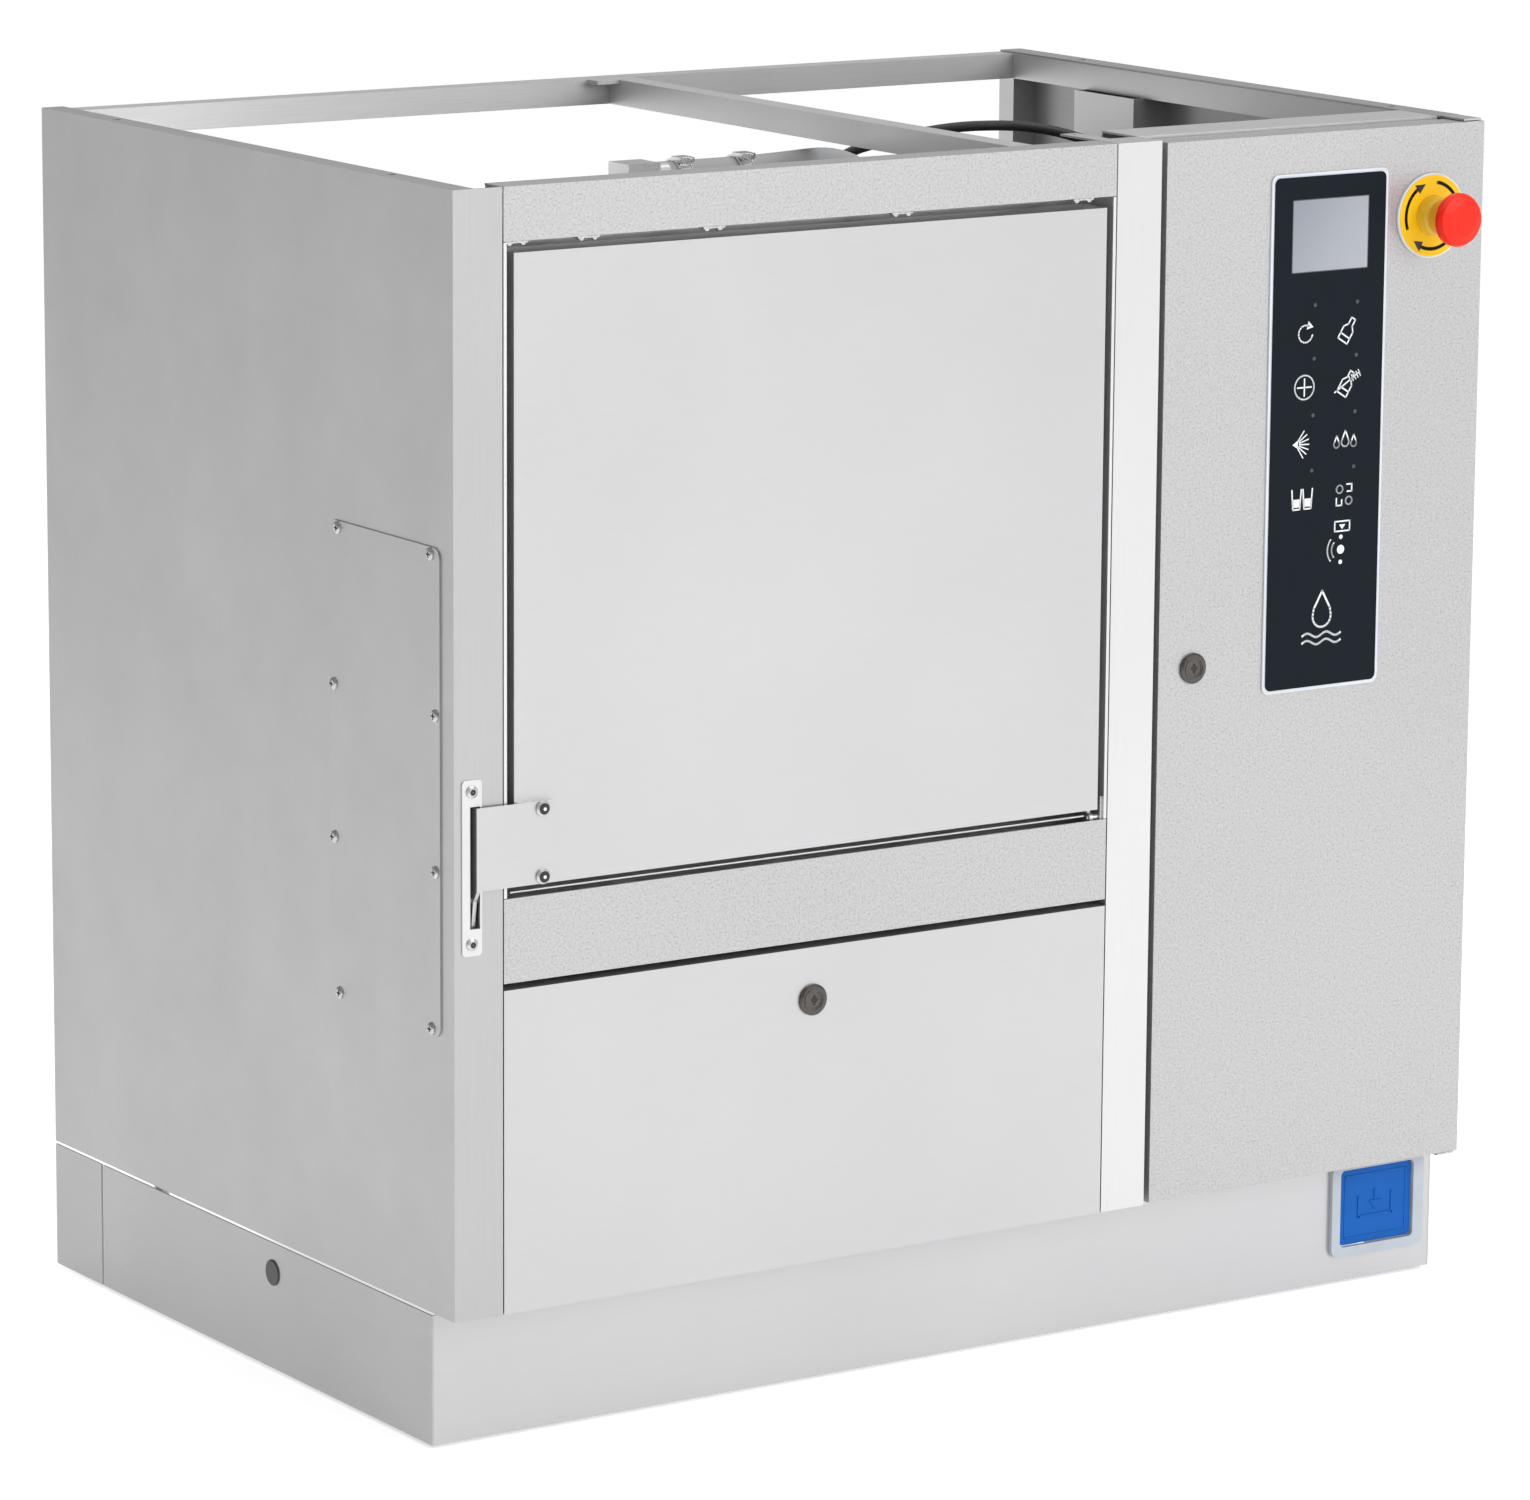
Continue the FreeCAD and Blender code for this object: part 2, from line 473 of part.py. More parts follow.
def face_screw(name, axis, x, y, z, head="screw_head", rise="screw_rise"):
    """Domed screw standing on a face; the axis names the way its head points."""
    return turned(name, axis, (x, y, z), [
        (0, "-screw_reach"), ("screw_shank", "-screw_reach"), ("screw_shank", 0), (head, 0),
        (head, f"{rise} * 0.45"), (f"{head} * 0.6", rise), (0, rise)])


# ---------------------------------------------------------------- frame and casing

def make_frame():
    rail_span = ("inner_left", "inner_right")
    rear = shell("rear_rail", (rail_span, ("back - rail", "back"), ("rail_low", "rail_high")), (
        rail_span, ("back - rail + rail_wall", "back - rail_wall"),
        ("rail_low + rail_wall", "rail_high - rail_wall")))
    across = ("cross_rail_left", "cross_rail_left + rail")
    hollow = ("cross_rail_left + rail_wall", "cross_rail_left + rail - rail_wall")
    along = ("front + top_fascia_depth", "back - rail")
    cross = shell("cross_rail", (across, along, ("rail_low", "rail_high")), (
        hollow, along, ("rail_low + rail_wall", "rail_high - rail_wall")))
    gusset = box("rail_gusset", ("cross_rail_left - rail", "cross_rail_left"),
                 ("back - rail * 1.75", "back - rail"), ("rail_high - sheet * 2", "rail_high"))
    side_x = ("inner_right - rail", "inner_right")
    side_y = ("body_front + top_rail_depth", "back - rail")
    side = shell("side_rail", (side_x, side_y, ("rail_low", "rail_high")), (
        ("inner_right - rail + rail_wall", "inner_right - rail_wall"), side_y,
        ("rail_low + rail_wall", "rail_high - rail_wall")))
    holes = []
    for number, y in enumerate(("-worktop_span / 2", "worktop_span / 2")):
        holes.append(rod(f"rail_worktop_hole_{number}", "z", "worktop_hole", "right - worktop_inset", y,
                         ("rail_low", "rail_high + overrun")))
        holes.append(rod(f"rail_access_hole_{number}", "z", "worktop_access", "right - worktop_inset", y,
                         ("rail_low - overrun", "rail_low + rail_wall + overrun")))
    node("top_frame", cut("top_frame", join("top_rails", rear, cross, gusset, side), *holes))

    posts = []
    for side, x in (("left", ("inner_left", "inner_left + rail")),
                    ("right", ("inner_right - rail", "inner_right"))):
        inside = (f"{x[0]} + rail_wall", f"{x[1]} - rail_wall")
        posts.append(shell(f"rear_post_{side}", (x, ("back - sheet - rail", "back - sheet"),
                                                 ("base_top", "rail_low")), (
            inside, ("back - sheet - rail + rail_wall", "back - sheet - rail_wall"),
            ("base_top", "rail_low"))))
    channel = cut(
        "wall_channel",
        box("wall_channel_block", ("inner_right - channel_depth", "inner_right"),
            ("channel_front", "channel_front + channel_width"), ("base_top", "rail_low")),
        box("wall_channel_hollow", ("inner_right - channel_depth + sheet", "inner_right"),
            ("channel_front + sheet", "channel_front + channel_width - sheet"), ("base_top", "rail_low")))
    node("rear_posts", group("rear_posts", *posts, channel))

    channel_post = cut(
        "middle_channel",
        box("middle_post_block", ("post_left", "post_right"), ("front", "front + middle_return"),
            ("body_low", "height")),
        box("middle_post_hollow", ("post_left + sheet", "post_right - sheet"),
            ("skin", "front + middle_return"),
            ("body_low", "height - sheet")))
    tab_back = "front + middle_return + post_tab_length"
    tab = box("middle_tab", ("post_left", "post_left + post_tab_width"),
              ("front + middle_return - sheet", tab_back),
              ("height - sheet", "height"))
    tab_hole = rod("middle_tab_hole", "z", "screw_hole", "post_left + post_tab_width / 2",
                   f"{tab_back} - post_tab_width / 2",
                   ("height - sheet * 2", "height + sheet"))
    node("middle_post", cut("middle_post", join("middle_post_body", channel_post, tab), tab_hole))

    top_rail = cut(
        "control_top_rail",
        box("control_rail_block", ("post_right", "right - right_flange - panel_seam"),
            ("body_front", "body_front + top_rail_depth"), ("rail_low", "height")),
        box("control_rail_hollow", ("post_right", "right - right_flange - panel_seam"),
            ("body_front + sheet", "body_front + top_rail_depth - sheet"), ("rail_low", "height - sheet")))
    node("control_top_rail", top_rail)


def make_side_panels():
    wall = box("left_wall", ("left", "inner_left"), ("front", "back"), ("body_low", "height"))
    face = box("left_post_face", ("left", "left + post_width"), ("front", "skin"), ("body_low", "height"))
    inner = box("left_post_return", ("left + post_width - sheet", "left + post_width"),
                ("front", "front + post_return"), ("body_low", "height"))
    top = box("left_top_flange", ("left", "left + edge_flange"), ("front", "back"),
              ("height - sheet", "height"))
    slot = box("left_slot", ("slot_left", "slot_right"), ("front - sheet", "front + sheet * 2"),
               ("slot_low", "slot_high"))
    window = box("left_window", ("left - sheet", "left + sheet * 2"),
                 ("access_front + access_lap", "access_back - access_lap"),
                 ("access_low + access_lap", "access_high - access_lap"))
    holes = [rod(f"left_worktop_hole_{number}", "z", "worktop_hole", "left + worktop_inset", y,
                 ("height - sheet * 2", "height + sheet"))
             for number, y in enumerate(("-worktop_span / 2", "worktop_span / 2"))]
    escutcheon_holes = [rod(f"post_screw_hole_{number}", "y", "screw_hole", "escutcheon_screw_x",
                            ("front - sheet", "front + sheet * 2"), z)
                        for number, z in enumerate(("escutcheon_screw_low", "escutcheon_screw_high"))]
    panel_holes = [rod(f"access_hole_{number}", "x", "screw_hole", ("left - sheet", "left + sheet * 2"),
                       y, z)
                   for number, (y, z) in enumerate(access_screws())]
    node("left_side_panel", cut("left_side_panel", join("left_panel", wall, face, inner, top),
                                slot, window, *holes, *escutcheon_holes, *panel_holes))

    cover = panel("left_access_panel", "x", ("access_front", "access_back"), ("access_low", "access_high"),
                  ("left - access_thick", "left"), [(y, z, "screw_hole") for y, z in access_screws()],
                  "access_corner")
    node("left_access_panel", cover)

    wall = box("right_wall", ("inner_right", "right"), ("body_front", "back"), ("body_low", "height"))
    front = box("right_front_return", ("right - edge_flange", "right"),
                ("body_front", "body_front + sheet"),
                ("base_top", "height - hinge_plate"))
    top = box("right_top_flange", ("right - right_flange", "right"), ("body_front", "back"),
              ("height - sheet", "height"))
    holes = [rod(f"right_worktop_hole_{number}", "z", "worktop_hole", "right - worktop_inset", y,
                 ("height - sheet * 2", "height + sheet"))
             for number, y in enumerate(("-worktop_span / 2", "worktop_span / 2"))]
    node("right_side_panel", cut("right_side_panel", join("right_panel", wall, front, top), *holes))


def access_screws():
    """Places (y, z) of the screws round the side access panel."""
    corner_y = ("access_front + access_end", "access_back - access_end")
    side_y = ("access_front + access_side", "access_back - access_side")
    places = [(y, z) for z in ("access_low + access_edge", "access_high - access_edge") for y in corner_y]
    places += [(y, z) for z in ("access_low + access_third", "access_high - access_third") for y in side_y]
    return places


def make_rear_and_base():
    sheet = box("rear_sheet", ("inner_left", "inner_right"), ("back - sheet", "back"),
                ("body_low", "rear_high"))
    openings = [rod("rear_drain_hole", "y", "drain_radius + overrun", "drain_x",
                    ("back - sheet * 2", "back + sheet"), "drain_z")]
    for number in range(2):
        openings.append(rod(f"rear_inlet_hole_{number}", "y", "inlet_radius + overrun",
                            f"inlet_x + {number} * inlet_pitch", ("back - sheet * 2", "back + sheet"),
                            "inlet_z"))
    for number in range(6):
        low = f"vent_low + {number} * vent_pitch"
        openings.append(box(f"rear_vent_{number}", ("vent_x - vent_width / 2", "vent_x + vent_width / 2"),
                            ("back - sheet * 2", "back + sheet"), (low, f"{low} + vent_height")))
    node("rear_panel", cut("rear_panel", sheet, *openings))

    floor = box("base_floor", ("inner_left", "inner_right"), ("body_front", "back - sheet"),
                ("body_low", "base_top"))
    lip = box("base_front_lip", ("inner_left", "inner_right - edge_flange"),
              ("body_front", "body_front + sheet"),
              ("body_low", "body_low + base_lip"))
    node("base_plate", join("base_plate", floor, lip))


def make_plinth():
    skirt = ("floor_gap", "plinth_height")
    front = box("plinth_front_sheet", ("inner_left", "inner_right"),
                ("plinth_face", "plinth_face + sheet"), skirt)
    opening = box("pedal_cutout", ("pad_left - pedal_ear", "pad_right + pedal_ear"),
                  ("plinth_face - sheet", "plinth_face + sheet * 2"),
                  ("pad_low - sheet", "pad_high + sheet"))
    node("plinth_front", cut("plinth_front", front, opening))

    pieces = []
    for side, x in (("left", ("left", "inner_left")), ("right", ("inner_right", "right"))):
        long = box(f"plinth_{side}_long", x, ("plinth_face", "plinth_split"), skirt)
        through = (f"{x[0]} - sheet", f"{x[1]} + sheet")
        pieces.append(cut(f"plinth_{side}", long, rod(f"plinth_{side}_hole", "x", "plug_stem", through,
                                                      "plug_y", "plug_z")))
        pieces.append(box(f"plinth_{side}_rear", x, ("plinth_split + plinth_split_gap", "back"), skirt))
    node("plinth_sides", group("plinth_sides", *pieces))

    profile = [(0, "-plug_reach"), ("plug_stem - running", "-plug_reach"), ("plug_stem - running", 0),
               ("plug_head", 0),
               ("plug_head", "plug_thick * 0.6"), ("plug_head - running * 20", "plug_thick"),
               (0, "plug_thick")]
    plugs = [turned("plug_left", "-x", ("left", "plug_y", "plug_z"), profile),
             turned("plug_right", "+x", ("right", "plug_y", "plug_z"), profile)]
    node("plinth_plugs", group("plinth_plugs", *plugs))

    feet = []
    for number, (x, y) in enumerate(foot_places()):
        feet.append(turned(f"foot_{number}", "+z", (x, y, 0), [
            (0, 0), ("foot_radius", 0), ("foot_radius", "foot_thick * 0.5"),
            ("stem_radius + foot_collar", "foot_thick"),
            ("stem_radius", "foot_thick"), ("stem_radius", "body_low - nut_height"),
            ("nut_radius", "body_low - nut_height"),
            ("nut_radius", "body_low"), (0, "body_low")]))
    node("levelling_feet", group("levelling_feet", *feet))


def foot_places():
    """Places (x, y) of the four levelling feet."""
    return [(x, y) for x in ("left + foot_inset", "right - foot_inset")
            for y in ("plinth_face + foot_inset", "back - foot_inset")]


# ---------------------------------------------------------------- fixed front pieces

def make_fascias():
    bay = ("bay_left", "bay_right")
    face = box("top_fascia_face", bay, ("front", "skin"), ("brow_low", "height"))
    top = box("top_fascia_flange", bay, ("front", "front + top_fascia_depth"), ("height - sheet", "height"))
    under = box("top_fascia_return", bay, ("front", "front + post_return"),
                ("brow_low", "brow_low + sheet"))
    node("top_fascia", join("top_fascia", face, top, under))

    face = box("lower_fascia_face", bay, ("front", "skin"), ("ledge_low", "ledge_high"))
    under = box("lower_fascia_return", bay, ("front", "front + fascia_return"),
                ("ledge_low", "ledge_low + sheet"))
    node("lower_fascia", join("lower_fascia", face, under))


def make_escutcheon():
    middle = "escutcheon_screw_x"
    plate = panel("escutcheon_plate", "y", ("plate_left", "plate_right"), ("plate_low", "plate_high"),
                  ("front - escutcheon_thick", "front"),
                  [(middle, "escutcheon_screw_low", "screw_hole"),
                   (middle, "escutcheon_screw_high", "screw_hole")],
                  "arm_corner")
    slot = box("escutcheon_slot", ("slot_left", "slot_right"), ("front - sheet * 2", "front + sheet"),
               ("slot_low", "slot_high"))
    node("slot_escutcheon", cut("slot_escutcheon", plate, slot))


def make_panel_screws():
    """Screws of the side access panel, the slot escutcheon and the strips above and below the door."""
    screws = []
    for number, (y, z) in enumerate(access_screws()):
        screws.append(face_screw(f"access_screw_{number}", "-x", "left - access_thick", y, z))
    for number, z in enumerate(("escutcheon_screw_low", "escutcheon_screw_high")):
        screws.append(face_screw(f"escutcheon_screw_{number}", "-y", "escutcheon_screw_x",
                                 "front - escutcheon_thick", z))
    node("panel_screws", group("panel_screws", *screws))


def make_door_frame():
    """Frame round the wash opening, its two jambs and the seal that the door closes on."""
    opening_x = ("chamber_left", "chamber_right")
    opening_z = ("chamber_low + sheet", "chamber_high - sheet")
    plate_z = ("ledge_high - frame_drop", "height - rail * 1.5")
    plate = shell("frame_plate", (("bay_left", "bay_right"), ("frame_y", "frame_back"), plate_z),
                  (opening_x, ("frame_y", "frame_back"), opening_z))
    jamb_z = ("ledge_high + jamb_gap", "brow_low - jamb_gap")
    jambs = [box("left_jamb", ("bay_left", "bay_left + jamb"), ("front", "frame_back"), jamb_z),
             box("right_jamb", ("bay_right - jamb", "bay_right"), ("front", "frame_back"), jamb_z)]
    necks = [rod(f"dosing_hole_{number}", "y", "dosing_neck + assembly_gap",
                 f"dosing_first + {number} * dosing_pitch",
                 ("frame_y - overrun", "frame_back + overrun"), "dosing_middle") for number in range(3)]
    node("door_frame", cut("door_frame", join("frame_body", plate, *jambs), *necks))

    seal = shell("door_gasket", (
        ("chamber_left - gasket_out", "chamber_right + gasket_out"), ("gasket_front", "frame_y"),
        ("chamber_low + sheet - gasket_out", "chamber_high - sheet + gasket_out")), (
        ("chamber_left - gasket_in", "chamber_right + gasket_in"), ("gasket_front", "frame_y"),
        ("chamber_low + sheet - gasket_in", "chamber_high - sheet + gasket_in")))
    node("door_gasket", seal)

    back = "pivot_y + pivot_plate_depth"
    plate_z = ("pivot_z - pivot_plate_half", "pivot_z + pivot_plate_half")
    left_face = "link_right + pivot_side_gap"
    left_plate = box("left_pivot_plate", (left_face, f"{left_face} + pivot_plate"), ("skin", back), plate_z)
    left_pin = rod("left_pivot_pin", "x", "pivot_pin", ("arm_left - pivot_side_gap", left_face),
                   "pivot_y", "pivot_z")
    right_face = "bay_right - jamb - pivot_plate"
    right_plate = box("right_pivot_plate", (right_face, "bay_right - jamb"), ("skin + jamb_gap", back),
                      plate_z)
    right_pin = rod("right_pivot_pin", "x", "pivot_pin", ("lug_left - pivot_side_gap", right_face),
                    "pivot_y", "pivot_z")
    node("door_pivots", group("door_pivots", join("left_pivot", left_plate, left_pin),
                              join("right_pivot", right_plate, right_pin)))


# ---------------------------------------------------------------- wash door

def make_wash_door():
    pan = shell("door_pan", (("door_left", "door_right"), ("front", "door_back"),
                             ("door_low", "door_high")), (
        ("door_left + sheet", "door_right - sheet"), ("skin", "door_back"),
        ("door_low + sheet", "door_high - sheet")))
    neck = box("door_lug_neck", ("lug_left", "lug_right"), ("pivot_y", "pivot_y + lug_radius * 2"),
               ("pivot_z", "door_low"))
    eye = rod("door_lug_eye", "x", "lug_radius", ("lug_left", "lug_right"), "pivot_y", "pivot_z")
    bore = rod("door_lug_bore", "x", "pivot_pin + running", ("lug_left - overrun", "lug_right + overrun"),
               "pivot_y", "pivot_z")
    holes = [rod(f"door_screw_hole_{number}", "y", "screw_hole", "arm_screw_x",
                 ("front - sheet", "skin + sheet"), z)
             for number, z in enumerate(("arm_screw_low", "arm_screw_high"))]
    node("door_outer_panel", cut("door_outer_panel", join("door_skin", pan, neck, eye), bore, *holes))

    edge = "(sheet + liner_inset)"
    tray = box("liner_tray", (f"door_left + {edge}", f"door_right - {edge}"), ("door_back", "liner_back"),
               (f"door_low + {edge}", f"door_high - {edge}"))
    rim = shell("liner_rim", (
        (f"door_left + {edge}", f"door_right - {edge}"), ("door_back - liner_rim", "door_back"),
        (f"door_low + {edge}", f"door_high - {edge}")), (
        (f"door_left + {edge} + sheet", f"door_right - {edge} - sheet"),
        ("door_back - liner_rim", "door_back"),
        (f"door_low + {edge} + sheet", f"door_high - {edge} - sheet")))
    node("door_inner_liner", join("door_inner_liner", tray, rim))


def make_door_arm():
    """Bent arm screwed on the door's face; its flange passes the slot to the pivot and the drive lever."""
    outline = [("arm_face", "arm_low"), ("arm_face", "arm_high"),
               ("arm_face + arm_flange_depth", "arm_high"),
               ("pivot_y + hub_radius", "pivot_z"), ("pivot_y - hub_radius", "pivot_z")]
    flange = flat("arm_flange", "x", outline, ("arm_left", "flange_right"))
    span = ("arm_left", "flange_right")
    hub = rod("arm_hub", "x", "hub_radius", span, "pivot_y", "pivot_z")
    lever = lever_bar("arm_lever", "pivot_y", "pivot_z", span)
    pin = rod("arm_lever_pin", "x", "joint_pin", ("flange_right", "link_right"), "pivot_y + lever_dy",
              "pivot_z + lever_dz")
    plate = panel("arm_plate", "y", ("arm_left", "arm_right"), ("arm_low", "arm_high"),
                  ("arm_face", "arm_inner"),
                  [("arm_screw_x", "arm_screw_low", "screw_hole"),
                   ("arm_screw_x", "arm_screw_high", "screw_hole")])
    spacer = panel("arm_spacer", "y", ("door_left + arm_standoff", "arm_right"), ("arm_low", "arm_high"),
                   ("arm_inner", "front"),
                   [("arm_screw_x", "arm_screw_low", "screw_hole"),
                    ("arm_screw_x", "arm_screw_high", "screw_hole")])
    bore = rod("arm_bore", "x", "pivot_pin + running", ("arm_left - overrun", "flange_right + overrun"),
               "pivot_y", "pivot_z")
    node("door_arm", cut("door_arm", join("arm_body", flange, hub, lever, pin, plate, spacer), bore))

    screws = [face_screw(f"arm_screw_{number}", "-y", "arm_screw_x", "arm_face", z, "arm_head",
                         "arm_head_rise")
              for number, z in enumerate(("arm_screw_low", "arm_screw_high"))]
    node("door_arm_screws", group("door_arm_screws", *screws))


def lever_bar(name, y, z, span):
    """Straight lever of the drive's length and angle, rounded at its far end."""
    bar = DOC.addObject("Part::Box", name + "_bar")
    bar.setExpression("Length", formula(f"({span[1]}) - ({span[0]})"))
    bar.setExpression("Width", formula("lever_length"))
    bar.setExpression("Height", formula("lever_width"))
    bar.Placement = FreeCAD.Placement(VECTOR(), FreeCAD.Rotation(VECTOR(1, 0, 0), value("lever_angle")))
    bar.setExpression("Placement.Rotation.Angle", formula("lever_angle"))
    half_y = "lever_width / 2 * sin(lever_angle * 1deg)"
    half_z = "lever_width / 2 * cos(lever_angle * 1deg)"
    place(bar, span[0], f"{y} + {half_y}", f"{z} - {half_z}")
    end = rod(name + "_end", "x", "lever_width / 2", span, f"{y} + lever_dy", f"{z} + lever_dz")
    return join(name, bar, end)


def make_utensil_rack():
    """Wire rack carried by the door's liner: a floor grid, two fences and cross bars."""
    thick, mid, thin = "rack_wire", "rack_wire * 0.9", "rack_wire * 0.8"
    along = ("rack_left - rack_over", "rack_right + rack_over")
    deep = ("rack_front - rack_over", "rack_back + rack_over")
    upright = ("rack_low - rack_over", "rack_high + rack_over")
    rods = []
    for number in range(value_count("rack_columns") + 1):
        x = f"rack_left + {number} * (rack_right - rack_left) / rack_columns"
        rods.append(rod(f"rack_upright_{number}", "z", thick, x, "rack_back", upright))
        rods.append(rod(f"rack_post_{number}", "z", thick, x, "rack_front", upright))
        rods.append(rod(f"rack_floor_{number}", "y", thin, x, deep, "rack_low"))
    for number, y in enumerate(("rack_front", "liner_back + rack_depth / 2", "rack_back")):
        rods.append(rod(f"rack_floor_bar_{number}", "x", mid, along, y, "rack_low"))
    for number, z in enumerate(("rack_middle", "rack_high")):
        rods.append(rod(f"rack_back_bar_{number}", "x", mid, along, "rack_back", z))
        rods.append(rod(f"rack_front_bar_{number}", "x", mid, along, "rack_front", z))
        for side, x in (("left", "rack_left"), ("right", "rack_right")):
            rods.append(rod(f"rack_side_bar_{side}_{number}", "y", thin, x, deep, z))
    for number, x in enumerate(("rack_left + rack_bracket", "rack_right - rack_bracket")):
        for level, z in enumerate(("rack_middle", "rack_high")):
            rods.append(box(f"rack_bracket_{number}_{level}",
                            (f"{x} - bracket_width / 2", f"{x} + bracket_width / 2"),
                            ("liner_back", "rack_front"), (f"{z} - bracket_height / 2",
                                                           f"{z} + bracket_height / 2")))
    node("utensil_rack", join("utensil_rack", *rods))


def value_count(name):
    """A size that counts pieces."""
    return int(round(value(name)))


def make_door_drive():
    """Gearmotor beside the chamber; its crank turns the door's lever through an equal rod."""
    crank_box = ("crank_z - gearbox_half", "crank_z + gearbox_half")
    gearbox = box("gearbox", ("motor_face", "gearbox_right"),
                  ("crank_y - gearbox_half", "crank_y + gearbox_half"), crank_box)
    motor = rod("door_motor", "z", "motor_radius", "motor_face + gearbox_width / 2", "crank_y",
                (crank_box[1], f"{crank_box[1]} + motor_length"))
    bore = rod("gearbox_bore", "x", "shaft_radius + running",
               ("motor_face", "flange_right + shaft_length + overrun"),
               "crank_y", "crank_z")
    node("door_gearmotor", cut("door_gearmotor", join("gearmotor_body", gearbox, motor), bore))

    span = ("arm_left", "flange_right")
    hub = rod("crank_hub_disc", "x", "crank_hub", span, "crank_y", "crank_z")
    shaft = rod("crank_shaft", "x", "shaft_radius", ("flange_right", "flange_right + shaft_length"),
                "crank_y", "crank_z")
    lever = lever_bar("crank_lever", "crank_y", "crank_z", span)
    pin = rod("crank_pin", "x", "joint_pin", ("flange_right", "link_right"), "crank_y + lever_dy",
              "crank_z + lever_dz")
    node("door_crank", join("door_crank", hub, shaft, lever, pin))

    node("door_link", make_link())


def make_link():
    """Rod between the lever pin and the crank pin, with an eye at each end."""
    span = ("link_left", "link_right")
    low = ("pivot_y + lever_dy", "pivot_z + lever_dz")
    high = ("crank_y + lever_dy", "crank_z + lever_dz")
    across = "link_z * link_width / 2 / link_length"
    along = "link_y * link_width / 2 / link_length"
    outline = [(f"{low[0]} + {across}", f"{low[1]} - {along}"),
               (f"{high[0]} + {across}", f"{high[1]} - {along}"),
               (f"{high[0]} - {across}", f"{high[1]} + {along}"),
               (f"{low[0]} - {across}", f"{low[1]} + {along}")]
    bar = flat("link_bar", "x", outline, span)
    eyes = [rod(f"link_eye_{number}", "x", "link_eye", span, y, z) for number,
            (y, z) in enumerate((low, high))]
    bores = [rod("link_open_bore", "x", "joint_pin + open_pivot_gap",
                 ("link_left - overrun", "link_right + overrun"), *low),
             rod("link_crank_bore", "x", "joint_pin + running",
                 ("link_left - overrun", "link_right + overrun"), *high)]
    return cut("door_link", join("link_body", bar, *eyes), *bores)


# ---------------------------------------------------------------- wash chamber

def make_chamber():
    outer = (("chamber_left - sheet", "chamber_right + sheet"), ("frame_back", "chamber_back"),
             ("chamber_low", "chamber_high"))
    inner = (("chamber_left", "chamber_right"), ("frame_back", "chamber_back - sheet"),
             ("chamber_low + sheet", "chamber_high - sheet"))
    sump = rod("sump_wall", "z", "sump_radius", "arm_x", "arm_y", ("sump_low", "chamber_low"))
    pit = rod("sump_pit", "z", "sump_radius - sheet", "arm_x", "arm_y",
              ("sump_low + sheet", "chamber_low + sheet * 2"))
    spigots = []
    bores = []
    for side, x in (("suction", "arm_x - spigot_offset"), ("drain", "arm_x + spigot_offset")):
        spigots.append(rod(f"{side}_spigot", "z", "spigot_radius", x, "arm_y", ("sump_end", "sump_low")))
        bores.append(rod(f"{side}_bore", "z", "spigot_radius - sheet", x, "arm_y",
                         ("sump_end - overrun", "sump_low + sheet * 2")))
    elbow_y = ("steam_y - steam_elbow", "steam_y + steam_elbow")
    spigots.append(box("steam_elbow_block", ("steam_x - steam_elbow", "steam_x + steam_elbow"), elbow_y,
                       ("chamber_high - sheet", "steam_z + steam_elbow")))
    spigots.append(rod("steam_spigot", "x", "steam_hose", ("steam_x", "steam_x + steam_reach"), "steam_y",
                       "steam_z"))
    bores.append(rod("steam_riser_bore", "z", "steam_hose - hose_wall", "steam_x", "steam_y",
                     ("chamber_high - sheet * 2", "steam_z")))
    bores.append(rod("steam_outlet_bore", "x", "steam_hose - hose_wall",
                     ("steam_x", "steam_x + steam_reach + overrun"),
                     "steam_y", "steam_z"))
    feed = rod("spray_feed", "z", "axle_radius", "arm_x", "arm_y",
               ("sump_low + sheet / 2", "spray_high + axle_over"))
    body = cut("tub", join("tub_block", box("tub_outer", *outer), sump, *spigots),
               box("tub_inner", *inner), pit, *bores)
    node("wash_chamber", join("wash_chamber", body, feed))

    around = [(f"arm_x + strainer_ring * cos({angle} * 1deg)",
               f"arm_y + strainer_ring * sin({angle} * 1deg)")
              for angle in range(0, 360, 45)]
    disc = rod("strainer_disc", "z", "strainer_radius", "arm_x", "arm_y",
               ("chamber_low - strainer_thick", "chamber_low"))
    holes = [rod(f"strainer_hole_{number}", "z", "strainer_hole", x, y,
                 ("chamber_low - strainer_thick * 2", "chamber_low + strainer_thick"))
             for number, (x, y) in enumerate(around)]
    centre = rod("strainer_centre", "z", "bearing_radius", "arm_x", "arm_y",
                 ("chamber_low - strainer_thick * 2", "chamber_low + strainer_thick"))
    node("sump_strainer", cut("sump_strainer", disc, centre, *holes))


